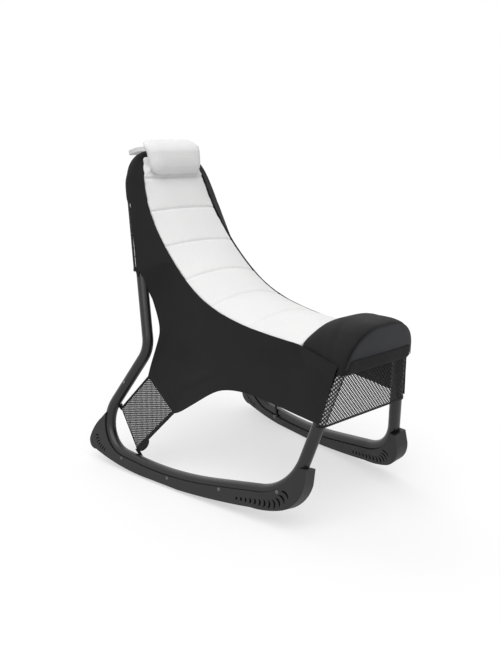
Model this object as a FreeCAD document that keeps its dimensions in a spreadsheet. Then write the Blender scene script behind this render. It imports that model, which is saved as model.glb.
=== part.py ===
"""Gaming rocker chair: a bent tube frame on two rocker shoes, with a slung cover and a quilted pad.

Millimetres. +Z is up, the chair faces -Y, and the left and right halves mirror across X = 0.
The origin is on the floor under the middle of the chair. Each side of the tube frame lies in a
leaning plane, so its points are given by the side view (y, z) and X follows from the plane.
"""
import FreeCAD, Part
import math
import os

from FreeCAD import Placement, Rotation, Vector

os.makedirs("parts", exist_ok=True)
doc = FreeCAD.newDocument("gaming_rocker_chair")
sheet = doc.addObject("Spreadsheet::Sheet", "Sizes")

# Driving dimensions, in millimetres or degrees
SIZES = {
    # leaning plane of each side frame: half width on the floor, toe and lean slopes
    "half_gauge": 270.2, "toe_slope": 0.1437, "lean_slope": 0.2422,
    # tube, its wall, and the spigots that plug into it
    "tube_diameter": 32, "tube_wall": 2, "spigot_gap": 0.3, "spigot_length": 62,
    "collar_length": 6,
    # corners of the side loop in side view, with their bend radii
    "front_corner_y": -337, "front_corner_z": 90.7, "front_bend_radius": 145,
    "rail_low_y": 41, "rail_low_z": 24.6, "rail_arc_radius": 1150,
    "rear_corner_y": 395, "rear_corner_z": 51.5, "rear_bend_radius": 95,
    "knee_y": 224, "knee_z": 347.5, "knee_radius": 75,
    "back_top_y": 427.9, "back_top_z": 883.5, "back_arch_radius": 85,
    "thigh_top_y": -425, "thigh_top_z": 491.5, "thigh_arch_radius": 80,
    # heights at which the tubes plug together
    "rear_joint_z": 262, "front_joint_z": 186,
    # rocker shoe
    "shoe_width": 40, "shoe_gap": 0.3, "shoe_lip_drop": 3, "shoe_rear_start": 138,
    "shoe_front_end": 27, "gill_depth": 9, "gill_count": 12, "gill_pitch": 14.6,
    "gill_first": 6, "gill_last": 30, "gill_width": 5.5, "gill_turn": 55, "slot_bow": 0.16,
    "rest_y": 60, "rest_z": 3.9, "rest_flat": 100,
    "fin_slot_count": 7, "fin_slot_pitch": 9.5, "fin_slot_width": 3.6, "fin_slot_height": 16,
    "fin_turn": 45,
    # screws and snap buttons
    "screw_diameter": 5, "screw_head_diameter": 9, "screw_head_height": 2.5, "screw_length": 9,
    "screw_gap": 0.3, "screw_drop": 9,
    "button_diameter": 8, "button_proud": 2.5, "button_travel": 3, "button_gap": 0.3,
    "button_flange": 2, "button_seat_drop": 3.5,
    "clip_thickness": 0.8, "clip_width": 9, "clip_length": 46,
    # cover, pad and bolster
    "cover_thickness": 2.5, "soft_gap": 0.3, "seam_gap": 1,
    "sleeve_gap": 1, "pad_edge": 8,
    "wrap_angle": 250, "arch_inset": 12, "arch_front": 26, "skin_steps": 6, "skin_sag": 6,
    "fold_height": 3, "bolster_base_z": 408.5, "bolster_wall": 5, "bolster_front": 5,
    "bolster_round": 5, "cap_thickness": 4, "strap_thickness": 2, "strap_width": 15,
    "mesh_thickness": 1.5, "mesh_hole": 6, "mesh_pitch": 13, "mesh_margin": 9, "mesh_row_share": 0.75,
    "front_mesh_drop": 131, "back_mesh_foot_z": 572, "back_mesh_top_drop": 40,
    "back_mesh_coarser": 1.5, "tape_width": 10,
    # studs on the tube and the webbing eyelets that hook over them
    "upper_stud_distance": 115, "lower_stud_distance": 345, "stud_diameter": 6, "stud_neck": 10.5,
    "stud_head_diameter": 11, "stud_head_height": 2.5, "eyelet_reach": 30, "eyelet_width": 20,
    # headrest pillow and its elastic
    "pillow_width": 186, "pillow_flare": 18, "pillow_height": 104, "pillow_depth": 34,
    "pillow_corner": 30, "pillow_y": 380, "pillow_z": 888, "pillow_lean": 12,
    "elastic_width": 22, "elastic_thickness": 2, "elastic_half_width": 128, "elastic_depth": 69.7,
    "elastic_turn": 50, "elastic_rise": 2,
}

# Side-view outline of the shoe's front, lug to sole: two ends of the lug's face, then the middle
# and end of each arc round the nose, the toe and the front sole
FRONT_SOLE = [(-377, 161), (-379.5, 122), (-368, 86), (-329.6, 50), (-283, 36), (-235, 30),
              (-118, 14.5)]
# Outline of its rear: middle and end of each arc along the rear sole, round the tail, up the fin
REAR_SOLE = [(240, 9.5), (352, 30.7), (378, 39), (386, 58), (377, 88), (352, 124)]
# Side-view centre line of the gill slots, and of the slots in the tail fin
GILL_ROUTE = [(-185, 39), (-312, 57), (-342, 112)]
FIN_ROUTE = [(312, 37), (352, 48), (362, 92)]

# Distances of the shoe's screws along the rail tube from its rear joint
SCREW_PLACES = (293, 480, 666, 850)
# Edge of the pad from the head to the thigh bolster, at its ends and sewn channels:
# half width, y, z, how far the middle stands above the edges, and the puff of the cushion below
PAD_STATIONS = [(99, 383, 887, 1, 1), (112, 372, 821, 4, 6), (123, 331, 727, 10, 6),
                (127.5, 255, 632, 13, 6), (130, 158, 547, 24, 6), (131.5, 44, 488, 26, 6),
                (131, -110, 457, 26, 6), (124, -287, 445, 28, 0)]
# Shares of a cushion's length at which its puffed section is drawn
PUFF_SHARES = (0, 0.07, 0.22, 0.5, 0.78, 0.93)
# Shares of the arch's bend at which the sleeve's sections stand, and their places on the pad's edge
BEND_SHARES = (0.15, 0.3, 0.45, 0.6, 0.75, 0.9)
SLEEVE_PARAMETERS = (1, 1.5, 2, 2.5, 3)
# Free edge of the cover's side: place on the pad's edge, then x, y, z of the left half
SIDE_EDGE = [(3.25, 176.6, 283, 560), (3.5, 176, 255, 482), (3.8, 184, 220, 432), (4.1, 190, 204, 404),
             (4.3, 195, 203, 388), (4.5, 203, 206, 360), (4.7, 217, 216, 306),
             (5.3, 231, 66, 200), (5.6, 205.5, -12, 260), (5.8, 194, -49.5, 283),
             (5.95, 188, -78, 292), (6.1, 180, -125, 298), (6.35, 174, -178, 295),
             (6.55, 171, -215, 292), (6.7, 170, -250, 289), (6.85, 169, -285, 286),
             (7, 168, -320, 282)]
# Row of SIDE_EDGE before which the wing's seam stands, its places on the pad's edge and its ends
SEAM_ROW = 7
SEAM_PARAMETERS = (4.85, 5.2)
SEAM_ENDS = [(225, 216, 270), (236, 89, 193)]
# Row from which the cover's side has tension folds, and its last section at the front leg
FOLD_ROW = 15
SLACK_ROWS = 4
FRONT_CORNER = (136, -408, 405)
FRONT_FOOT = (168, -384, 277)
# Directions in which the wings pull on the upper and the lower stud, in side view
UPPER_PULL = (-1, 0.15)
LOWER_PULL = (-0.2, 1)
# Pillow sections: share of the depth and how far the outline is drawn in
PILLOW_PROFILE = [(0, 6), (0.12, 0), (0.4, 2), (0.7, 9), (0.9, 19), (1, 32)]

for row, (alias, value) in enumerate(SIZES.items(), start=1):
    sheet.set(f"A{row}", alias)
    sheet.set(f"B{row}", str(value))
    sheet.setAlias(f"B{row}", alias)
doc.recompute()

SIDES = {"right": -1, "left": 1}
PARTS = []


def size(alias):
    """Value of one driving dimension."""
    return float(getattr(sheet, alias))


def half_width(y, z):
    """Distance of the side frame's plane from X = 0 at a side-view point."""
    return size("half_gauge") + size("toe_slope") * y - size("lean_slope") * z


def on_side(side, y, z):
    """Point of the side frame's plane."""
    return Vector(side * half_width(y, z), y, z)


def outward(side):
    """Unit normal of the side frame's plane, away from the chair's middle."""
    normal = Vector(side, -size("toe_slope"), size("lean_slope"))
    return normal.normalize()


def side_placement(side):
    """Frame of the leaning plane: x runs back along the floor, y runs up, z is square to it."""
    along = Vector(side * size("toe_slope"), 1, 0).normalize()
    normal = outward(side) * side
    up = normal.cross(along)
    matrix = FreeCAD.Matrix(along.x, up.x, normal.x, side * size("half_gauge"),
                            along.y, up.y, normal.y, 0,
                            along.z, up.z, normal.z, 0,
                            0, 0, 0, 1)
    return Placement(matrix)


def flat_point(side, y, z):
    """Side-view point in the coordinates of side_placement."""
    return side_placement(side).inverse().multVec(on_side(side, y, z))


def line_at(first, second, z):
    """Side-view y at height z on the line through two side-view points."""
    return first[0] + (second[0] - first[0]) * (z - first[1]) / (second[1] - first[1])


def bent_path(points, radii):
    """Wire of straight runs joined by tangent arcs; radii belong to the inner points."""
    edges = []
    start = points[0]
    for before, corner, after, radius in zip(points, points[1:], points[2:], radii):
        back = (before - corner).normalize()
        ahead = (after - corner).normalize()
        half_turn = (math.pi - back.getAngle(ahead)) / 2
        reach = radius * math.tan(half_turn)
        middle = (back + ahead).normalize() * (radius / math.cos(half_turn) - radius)
        arc_start = corner + back * reach
        arc_end = corner + ahead * reach
        edges.append(Part.makeLine(start, arc_start))
        edges.append(Part.Arc(arc_start, corner + middle, arc_end).toShape())
        start = arc_end
    edges.append(Part.makeLine(start, points[-1]))
    return Part.Wire(edges)


def rod(path, diameter):
    """Round bar along a wire."""
    first = path.Edges[0]
    tangent = first.tangentAt(first.FirstParameter)
    ring = Part.Wire(Part.makeCircle(diameter / 2, first.valueAt(first.FirstParameter), tangent))
    return path.makePipeShell([ring], True, False)


def hollow_tube(path, outer, inner):
    """Tube along a wire."""
    return rod(path, outer).cut(rod(path, inner))


def feature(label, shape):
    """Sub-part whose shape comes from Part functions, standing where the shape stands."""
    piece = doc.addObject("Part::Feature", label)
    piece.Label = label
    piece.Shape = shape
    piece.Placement = shape.Placement
    PARTS.append(piece)
    return piece


# Tube frame

def loop_corners():
    """Corners of the side loop in side view, from the back's top round to the thigh arch."""
    names = ("back_top", "knee", "rear_corner", "rail_low", "front_corner", "thigh_top")
    return {name: (size(name + "_y"), size(name + "_z")) for name in names}


def rear_joint():
    """Side-view point where the back hoop plugs into the rail tube."""
    corners = loop_corners()
    height = size("rear_joint_z")
    return line_at(corners["knee"], corners["rear_corner"], height), height


def front_joint():
    """Side-view point where the front hoop plugs into the rail tube."""
    corners = loop_corners()
    height = size("front_joint_z")
    return line_at(corners["thigh_top"], corners["front_corner"], height), height


def rail_route():
    """Side-view corners of a rail tube, from the rear joint to the front joint."""
    corners = loop_corners()
    return [rear_joint(), corners["rear_corner"], corners["rail_low"], corners["front_corner"],
            front_joint()]


def rail_radii():
    """Bend radii of a rail tube."""
    return [size("rear_bend_radius"), size("rail_arc_radius"), size("front_bend_radius")]


def rail_path(side):
    """Centre line of one rail tube."""
    return bent_path([on_side(side, *point) for point in rail_route()], rail_radii())


def make_rail_tube(name, side):
    """Bent lower tube: lower upright, rear bend, rail, front bend and a spigot for the leg."""
    outer = size("tube_diameter")
    tube = hollow_tube(rail_path(side), outer, outer - 2 * size("tube_wall"))
    tube = with_spigots(tube, [spigot_line(side, front_joint(), loop_corners()["thigh_top"])])
    holes = [button_hole(side)]
    for distance in SCREW_PLACES:
        hole = Part.makeCylinder(size("screw_diameter") / 2 + size("screw_gap"), outer)
        hole.Placement = screw_frame(side, distance)
        holes.append(hole)
    feature(f"rail_tube_{name}", tube.cut(holes))


def screw_frame(side, distance):
    """Placement of a shoe screw: origin in the tube's middle plane, z out through the shoe."""
    centre, along = walk(rail_path(side), distance)
    out = outward(side)
    below = out.cross(along) * side
    return plane_frame(centre + below * size("screw_drop"), along, out)


def hoop_route(top, lower, joint):
    """Centre-line points of a hoop over both sides, from the left joint to the right joint."""
    left = [on_side(1, *point) for point in (joint, *lower, top)]
    right = [on_side(-1, *point) for point in (joint, *lower, top)]
    return left + right[::-1]


def spigot_line(side, joint, towards):
    """Ends of the spigot at a joint, on the line towards another side-view point."""
    root = on_side(side, *joint)
    return root, root + (on_side(side, *towards) - root).normalize() * size("spigot_length")


def with_spigots(tube, lines):
    """Tube with a thinner spigot on each line, and a collar inside its wall behind each."""
    outer = size("tube_diameter")
    wall = size("tube_wall")
    spigot = outer - 2 * wall - 2 * size("spigot_gap")
    bore = spigot - 2 * wall
    pieces = []
    for root, tip in lines:
        back = (root - tip).normalize() * size("collar_length")
        pieces.append(hollow_tube(Part.Wire(Part.makeLine(root, tip)), spigot, bore))
        pieces.append(hollow_tube(Part.Wire(Part.makeLine(root + back, root)), outer - wall, bore))
    return tube.fuse(pieces).removeSplitter()


def make_back_hoop():
    """Back frame: two uprights bent at the knee and joined by the arch behind the head."""
    corners = loop_corners()
    outer = size("tube_diameter")
    route = hoop_route(corners["back_top"], [corners["knee"]], rear_joint())
    radii = [size("knee_radius"), size("back_arch_radius")]
    hoop = hollow_tube(bent_path(route, radii + radii[::-1]), outer, outer - 2 * size("tube_wall"))
    hoop = with_spigots(hoop, [spigot_line(side, rear_joint(), corners["rear_corner"])
                               for side in SIDES.values()])
    feature("back_hoop", hoop.cut([button_hole(side) for side in SIDES.values()]))


def make_front_hoop():
    """Front frame: two legs joined by the arch inside the thigh bolster."""
    outer = size("tube_diameter")
    route = hoop_route(loop_corners()["thigh_top"], [], front_joint())
    path = bent_path(route, [size("thigh_arch_radius")] * 2)
    feature("front_hoop", hollow_tube(path, outer, outer - 2 * size("tube_wall")))


# Snap buttons at the rear joints

def button_frame(side):
    """Placement of a button: origin on the tube's centre line, z out through its hole."""
    joint = rear_joint()
    below = loop_corners()["rear_corner"]
    centre = joint[1] - size("spigot_length") / 3
    place = on_side(side, line_at(joint, below, centre), centre)
    along = (on_side(side, *joint) - on_side(side, *below)).normalize()
    out = outward(side)
    across = out.cross(along)
    matrix = FreeCAD.Matrix(along.x, across.x, out.x, place.x,
                            along.y, across.y, out.y, place.y,
                            along.z, across.z, out.z, place.z,
                            0, 0, 0, 1)
    return Placement(matrix)


def button_hole(side):
    """Cutter for the button's hole through the tube and its spigot, on the outer side."""
    radius = size("button_diameter") / 2 + size("button_gap")
    hole = Part.makeCylinder(radius, size("tube_diameter"))
    hole.Placement = button_frame(side)
    return hole


def spigot_bore_radius():
    """Inner radius of the spigots."""
    return size("tube_diameter") / 2 - 2 * size("tube_wall") - size("spigot_gap")


def make_button(name, side):
    """Turned snap button: a bevelled pin with a wider foot that stops it inside the tube."""
    body = doc.addObject("PartDesign::Body", f"snap_button_{name}")
    body.Label = f"snap_button_{name}"
    plane = next(f for f in body.Origin.OriginFeatures if f.Role == "XZ_Plane")
    sketch = body.newObject("Sketcher::SketchObject", f"button_profile_{name}")
    sketch.AttachmentSupport = [(plane, "")]
    sketch.MapMode = "FlatFace"
    pin = size("button_diameter") / 2
    foot = pin + size("button_flange")
    top = size("tube_diameter") / 2 + size("button_proud")
    seat = spigot_bore_radius() - size("button_seat_drop")
    floor = seat - size("button_flange")
    dome = size("button_proud") / 2
    outline = [(0, floor), (foot, floor), (foot, seat), (pin, seat), (pin, top - dome),
               (pin - dome, top), (0, top)]
    corners = [Vector(x, z, 0) for x, z in outline]
    for first, second in zip(corners, corners[1:] + corners[:1]):
        sketch.addGeometry(Part.LineSegment(first, second))
    turned = body.newObject("PartDesign::Revolution", f"button_turned_{name}")
    turned.Profile = sketch
    turned.ReferenceAxis = (sketch, ["V_Axis"])
    turned.Angle = 360
    body.Placement = button_frame(side)
    PARTS.append(body)


def make_button_clip(name, side):
    """Bent spring strip inside the spigot that pushes the button out."""
    reach = size("clip_length") / 2
    thickness = size("clip_thickness")
    seat = math.sqrt(spigot_bore_radius() ** 2 - (size("clip_width") / 2) ** 2)
    foot = (spigot_bore_radius() - size("button_seat_drop") - size("button_flange")
            - 2 * size("button_gap"))
    low = -seat + thickness / 2 + size("soft_gap") / 3
    outer_route = [Vector(-reach, 0, foot - size("button_travel")),
                   Vector(reach / 2, 0, foot - size("button_travel")),
                   Vector(reach, 0, 0), Vector(reach / 2, 0, low), Vector(-reach, 0, low)]
    profile = Part.makePolygon(outer_route)
    band = profile.makeOffset2D(thickness / 2, openResult=True, join=2)
    other = profile.makeOffset2D(-thickness / 2, openResult=True, join=2)
    first = [vertex.Point for vertex in band.OrderedVertexes]
    second = [vertex.Point for vertex in other.OrderedVertexes]
    strip = Part.Face(Part.makePolygon(first + second[::-1] + first[:1]))
    width = size("clip_width")
    clip = strip.extrude(Vector(0, width, 0))
    clip.translate(Vector(0, -width / 2, 0))
    clip.Placement = button_frame(side).multiply(clip.Placement)
    feature(f"button_clip_{name}", clip)


# Rocker shoes

def trimmed(path, start, end):
    """Stretch of a wire between two distances along it."""
    edges = []
    done = 0
    for edge in path.Edges:
        low, high = max(start - done, 0), min(end - done, edge.Length)
        if low < high:
            ends = [edge.getParameterByLength(distance) for distance in (low, high)]
            edges.append(edge.Curve.toShape(*ends))
        done += edge.Length
    return Part.Wire(edges)


def shoe_spine(side):
    """Rail tube's centre line where the shoe holds it, in the leaning plane's coordinates."""
    flat = bent_path([flat_point(side, *point) for point in rail_route()], rail_radii())
    return trimmed(flat, size("shoe_rear_start"), flat.Length - size("shoe_front_end"))


def shoe_outline(side):
    """Closed outline of the shoe: lip along the tube, front lug, sole, tail fin."""
    offsets = [shoe_spine(side).makeOffset2D(sign * size("shoe_lip_drop"), openResult=True)
               for sign in (-1, 1)]
    lip = max(offsets, key=lambda wire: wire.Length)
    lip = Part.Wire(Part.sortEdges(lip.Edges)[0])
    rest = [(size("rest_y") + reach * size("rest_flat") / 2, size("rest_z")) for reach in (-1, 1)]
    front = [flat_point(side, *point) for point in FRONT_SOLE + rest[:1]]
    rear = [flat_point(side, *point) for point in rest[1:] + REAR_SOLE]
    start = lip.Edges[-1].valueAt(lip.Edges[-1].LastParameter)
    edges = list(lip.Edges)
    edges.append(Part.makeLine(start, front[0]))
    edges.append(Part.makeLine(front[0], front[1]))
    edges += arcs_through(front[1:])
    edges.append(Part.makeLine(front[-1], rear[0]))
    edges += arcs_through(rear)
    end = lip.Edges[0].valueAt(lip.Edges[0].FirstParameter)
    edges.append(Part.makeLine(rear[-1], end))
    return edges


def arcs_through(points):
    """Chain of arcs: each takes a start, a middle and an end, which starts the next."""
    return [Part.Arc(*points[first:first + 3]).toShape() for first in range(0, len(points) - 2, 2)]


def attach(sketch, body, role, offset=0.0):
    """Lay a sketch on one of its body's origin planes, moved along the plane's normal."""
    plane = next(item for item in body.Origin.OriginFeatures if item.Role == role)
    sketch.AttachmentSupport = [(plane, "")]
    sketch.MapMode = "FlatFace"
    sketch.AttachmentOffset = Placement(Vector(0, 0, offset), Rotation())


def add_edges(sketch, edges):
    """Copy straight and round edges into a sketch."""
    for edge in edges:
        first, last = edge.ParameterRange
        points = [edge.valueAt(first), edge.valueAt((first + last) / 2), edge.valueAt(last)]
        if edge.Curve.TypeId == "Part::GeomLine":
            sketch.addGeometry(Part.LineSegment(points[0], points[2]))
        else:
            sketch.addGeometry(Part.Arc(*points))


def crescent(centre, up, height, width, bulge):
    """Edges of a crescent slot that stands along up and bows towards bulge."""
    top = centre + up * height / 2
    foot = centre - up * height / 2
    inner = centre + bulge * height * size("slot_bow")
    outer = inner + bulge * width
    return [Part.Arc(foot, outer, top).toShape(), Part.Arc(top, inner, foot).toShape()]


def gill_edges(side):
    """Crescent slots between the tube and the sole, growing towards the toe."""
    route = bent_path([flat_point(side, *point) for point in GILL_ROUTE], [size("gill_turn")])
    count = int(size("gill_count"))
    edges = []
    for index in range(count):
        centre, along = walk(route, index * size("gill_pitch"))
        up = Vector(along.y, -along.x, 0)
        height = size("gill_first") + (size("gill_last") - size("gill_first")) * index / (count - 1)
        edges += crescent(centre, up, height, size("gill_width"), along)
    return edges


def fin_edges(side):
    """Nested slots in the tail fin."""
    route = bent_path([flat_point(side, *point) for point in FIN_ROUTE], [size("fin_turn")])
    edges = []
    for index in range(int(size("fin_slot_count"))):
        centre, along = walk(route, index * size("fin_slot_pitch"))
        up = Vector(along.y, -along.x, 0)
        edges += crescent(centre, up, size("fin_slot_height"), size("fin_slot_width"), along)
    return edges


def walk(route, distance):
    """Point and direction at a distance along a wire of runs and arcs."""
    for edge in route.Edges:
        if distance <= edge.Length or edge.isSame(route.Edges[-1]):
            parameter = edge.getParameterByLength(min(distance, edge.Length))
            return edge.valueAt(parameter), edge.tangentAt(parameter)
        distance -= edge.Length


def make_shoe(name, side):
    """Moulded rocker shoe: a slotted slab with a round channel for the rail and a rest strip."""
    body = doc.addObject("PartDesign::Body", f"shoe_block_{name}")
    outline = body.newObject("Sketcher::SketchObject", f"shoe_outline_{name}")
    attach(outline, body, "XY_Plane")
    add_edges(outline, shoe_outline(side))
    slab = body.newObject("PartDesign::Pad", f"shoe_slab_{name}")
    slab.Profile = outline
    slab.setExpression("Length", "Sizes.shoe_width")
    slab.Midplane = True
    doc.recompute()
    for face in (-1, 1):
        for kind, edges in (("gills", gill_edges(side)), ("fin", fin_edges(side))):
            slots = body.newObject("Sketcher::SketchObject", f"{kind}_{name}_{face + 2}")
            attach(slots, body, "XY_Plane", face * size("shoe_width") / 2)
            add_edges(slots, edges)
            pocket = body.newObject("PartDesign::Pocket", f"{kind}_cut_{name}_{face + 2}")
            pocket.Profile = slots
            pocket.setExpression("Length", "Sizes.gill_depth")
            pocket.Reversed = face < 0
    add_screw_holes(body, name, side)
    floor = body.newObject("PartDesign::SubtractiveBox", f"floor_{name}")
    reach = 4 * size("half_gauge")
    floor.Length = floor.Width = floor.Height = reach
    world = Placement(Vector(-reach / 2, -reach / 2, -reach), Rotation())
    floor.Placement = side_placement(side).inverse().multiply(world)
    doc.recompute()
    body.Placement = side_placement(side)
    channel = doc.addObject("Part::Feature", f"shoe_channel_{name}")
    channel.Shape = rod(rail_path(side), size("tube_diameter") + 2 * size("shoe_gap"))
    shoe = doc.addObject("Part::Cut", f"rocker_shoe_{name}")
    shoe.Label = f"rocker_shoe_{name}"
    shoe.Base = body
    shoe.Tool = channel
    PARTS.append(shoe)


def add_screw_holes(body, name, side):
    """Holes and head recesses for the screws, from the shoe's outer face to the channel."""
    face = size("shoe_width") / 2
    depths = {"shank": "Sizes.shoe_width / 2", "head": "Sizes.screw_head_height"}
    radii = {"shank": size("screw_diameter") / 2, "head": size("screw_head_diameter") / 2}
    for kind, depth in depths.items():
        sketch = body.newObject("Sketcher::SketchObject", f"screw_{kind}_{name}")
        attach(sketch, body, "XY_Plane", side * face)
        for distance in SCREW_PLACES:
            centre = side_placement(side).inverse().multVec(screw_frame(side, distance).Base)
            sketch.addGeometry(Part.Circle(Vector(centre.x, centre.y, 0), Vector(0, 0, 1),
                                           radii[kind] + size("screw_gap")))
        pocket = body.newObject("PartDesign::Pocket", f"screw_{kind}_cut_{name}")
        pocket.Profile = sketch
        pocket.setExpression("Length", depth)
        pocket.Reversed = side < 0


def make_screws(name, side):
    """Screws that hold the shoe to the rail tube."""
    face = size("shoe_width") / 2
    for number, distance in enumerate(SCREW_PLACES, start=1):
        under_head = face - size("screw_head_height")
        head = Part.makeCylinder(size("screw_head_diameter") / 2, size("screw_head_height"),
                                 Vector(0, 0, under_head))
        socket = Part.makeCylinder(size("screw_diameter") / 4, size("screw_head_height") / 2,
                                   Vector(0, 0, face - size("screw_head_height") / 2))
        shank = Part.makeCylinder(size("screw_diameter") / 2, size("screw_length"),
                                  Vector(0, 0, under_head - size("screw_length")))
        screw = head.fuse(shank).removeSplitter().cut(socket)
        screw.Placement = screw_frame(side, distance)
        feature(f"shoe_screw_{name}_{number}", screw)


# Cover, pad and bolster

def smooth(points):
    """Curve through the points, whose parameter counts the points from zero."""
    curve = Part.BSplineCurve()
    curve.interpolate(Points=points, Parameters=[float(i) for i in range(len(points))])
    return curve


PAD_EDGE = smooth([Vector(*station[:3]) for station in PAD_STATIONS])
PAD_CROWN = smooth([Vector(0, index, station[3]) for index, station in enumerate(PAD_STATIONS)])


def mirrored(point, side):
    """Point of the left half moved to the asked side."""
    return Vector(side * point.x, point.y, point.z)


def pad_normal(parameter):
    """Direction square to the pad at a parameter of its edge, towards the sitter."""
    tangent = PAD_EDGE.tangent(parameter)[0]
    return Vector(0, tangent.z, -tangent.y).normalize()


def pad_section(parameter, puff):
    """Closed section of the pad: crowned top, short edges, flat underside."""
    left = PAD_EDGE.value(parameter)
    right = mirrored(left, -1)
    normal = pad_normal(parameter)
    crest = (left + right) / 2 + normal * (PAD_CROWN.value(parameter).z + puff)
    below = normal * size("pad_edge")
    sides = [Part.Arc(right, crest, left).toShape(), Part.makeLine(left, left - below),
             Part.makeLine(left - below, right - below), Part.makeLine(right - below, right)]
    return Part.Wire(sides)


def make_pad():
    """Quilted centre pad: cushions with sewn channels between them."""
    sections = []
    last = len(PAD_STATIONS) - 1
    for cushion in range(last):
        for share in PUFF_SHARES:
            puff = PAD_STATIONS[cushion][4] * math.sqrt(math.sin(math.pi * share))
            sections.append(pad_section(cushion + share, puff))
    sections.append(pad_section(last, 0))
    feature("seat_pad", Part.makeLoft(sections, True, True))


def upright_line(side):
    """A point of the upright's centre line and its upward direction."""
    corners = loop_corners()
    knee = on_side(side, *corners["knee"])
    return knee, (on_side(side, *corners["back_top"]) - knee).normalize()


def sleeve_section(centre, along, inner):
    """Section of the cover where it wraps the back hoop from the pad's edge to behind the tube."""
    radius = size("tube_diameter") / 2 + size("sleeve_gap")
    thickness = size("cover_thickness")
    inward = inner - centre
    reach = inward.Length
    first = inward.normalize()
    second = along.cross(first).normalize()
    if second.y > 0:
        second = second * -1
    touch = math.acos(radius / reach)
    angles = [touch, (touch + math.radians(size("wrap_angle"))) / 2,
              math.radians(size("wrap_angle"))]
    middles = [(angles[0] + angles[1]) / 2, (angles[1] + angles[2]) / 2]

    def at(angle, distance):
        return centre + (first * math.cos(angle) + second * math.sin(angle)) * distance

    outer = radius + thickness
    lift = (first * math.cos(touch) + second * math.sin(touch)) * thickness
    edges = [
        Part.makeLine(inner, at(angles[0], radius)),
        Part.Arc(at(angles[0], radius), at(middles[0], radius), at(angles[1], radius)).toShape(),
        Part.Arc(at(angles[1], radius), at(middles[1], radius), at(angles[2], radius)).toShape(),
        Part.makeLine(at(angles[2], radius), at(angles[2], outer)),
        Part.Arc(at(angles[2], outer), at(middles[1], outer), at(angles[1], outer)).toShape(),
        Part.Arc(at(angles[1], outer), at(middles[0], outer), at(angles[0], outer)).toShape(),
        Part.makeLine(at(angles[0], outer), inner + lift),
        Part.makeLine(inner + lift, inner),
    ]
    return Part.Wire(edges), at(angles[0], radius), lift


def cover_edge(side, parameter):
    """Edge of the cover beside the pad."""
    point = PAD_EDGE.value(parameter)
    return mirrored(point + Vector(size("seam_gap"), 0, 0), side)


def arch_sections(side):
    """Sleeve sections round the arch of the back hoop, from its middle to its upright."""
    corners = loop_corners()
    top = on_side(side, *corners["back_top"])
    other = on_side(-side, *corners["back_top"])
    arch = bent_path([(top + other) / 2, top, on_side(side, *corners["knee"])],
                     [size("back_arch_radius")])
    straight, bend = arch.Edges[0], arch.Edges[1]
    front = (on_side(side, *corners["knee"]) - top).cross(Vector(1, 0, 0)).normalize()
    if front.y > 0:
        front = front * -1
    distances = [size("soft_gap"), straight.Length]
    distances += [straight.Length + bend.Length * share for share in BEND_SHARES]
    sections = []
    for distance in distances:
        centre, along = walk(arch, distance)
        inward = along.cross(front).normalize()
        if inward.z > 0:
            inward = inward * -1
        inner = centre + inward * size("arch_inset") + front * size("arch_front")
        sections.append(sleeve_section(centre, along, inner)[0])
    return sections


def side_rows(side):
    """Inner and outer edge points of the cover's side, from the sleeve's hem to the front leg."""
    rows = [(cover_edge(side, parameter), mirrored(Vector(x, y, z), side))
            for parameter, x, y, z in SIDE_EDGE]
    seam_top, seam_foot = wing_corners(side)[1:3]
    rows.insert(SEAM_ROW, (cover_edge(side, SEAM_PARAMETERS[0]), seam_top))
    rows.insert(SEAM_ROW + 1, (cover_edge(side, SEAM_PARAMETERS[1]), seam_foot))
    x, y, z = FRONT_CORNER
    leg_x, leg_y, leg_z = FRONT_FOOT
    rows.append((mirrored(Vector(x, y, z), side), mirrored(Vector(leg_x, leg_y, leg_z), side)))
    return rows


def skin_section(inner, outer, normal, sag):
    """Thin closed section from an inner to an outer point, bowed along the normal."""
    count = int(size("skin_steps"))
    near, far = [], []
    for step in range(count + 1):
        share = step / count
        point = inner + (outer - inner) * share + normal * sag * math.sin(math.pi * share)
        near.append(point)
        far.append(point + normal * size("cover_thickness"))
    loop = near + far[::-1]
    return Part.makePolygon(loop + loop[:1])


def make_side_panel(name, side):
    """Side of the cover: sleeve round the upright, then the slung side with its folds."""
    knee, along = upright_line(side)
    sections = arch_sections(side)
    steps = SLEEVE_PARAMETERS
    for parameter in steps:
        inner = cover_edge(side, parameter)
        centre = knee + along * (inner - knee).dot(along)
        wire, touch, lift = sleeve_section(centre, along, inner)
        sections.append(wire)
    sleeve = Part.makeLoft(sections, True, True)
    rows = [(inner, touch)] + side_rows(side)
    skins = [skin_section(inner, touch, lift.normalize(), 0)]
    for index in range(1, len(rows)):
        here = rows[index]
        before = rows[index - 1]
        after = rows[min(index + 1, len(rows) - 1)]
        run = (after[0] + after[1] - before[0] - before[1]).normalize()
        normal = (here[1] - here[0]).cross(run).normalize()
        if normal.x * side < 0:
            normal = normal * -1
        fold = size("fold_height") * (-1) ** index if index > FOLD_ROW else 0
        slack = min(1, (len(rows) - 1 - index) / SLACK_ROWS)
        skins.append(skin_section(*here, normal, (fold - size("skin_sag")) * slack))
    sling = Part.makeLoft(skins, True, True)
    feature(f"side_panel_{name}", sleeve.fuse(sling))


# Thigh bolster at the front hoop

def hoop_frame():
    """Placement of the front hoop's plane: x across, y up along the legs, z to the front."""
    corners = loop_corners()
    top = on_side(1, *corners["thigh_top"])
    foot = on_side(1, *front_joint())
    up = Vector(0, top.y - foot.y, top.z - foot.z).normalize()
    front = Vector(1, 0, 0).cross(up)
    matrix = FreeCAD.Matrix(1, up.x, front.x, 0, 0, up.y, front.y, top.y, 0, up.z, front.z, top.z,
                            0, 0, 0, 1)
    return Placement(matrix)


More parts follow.
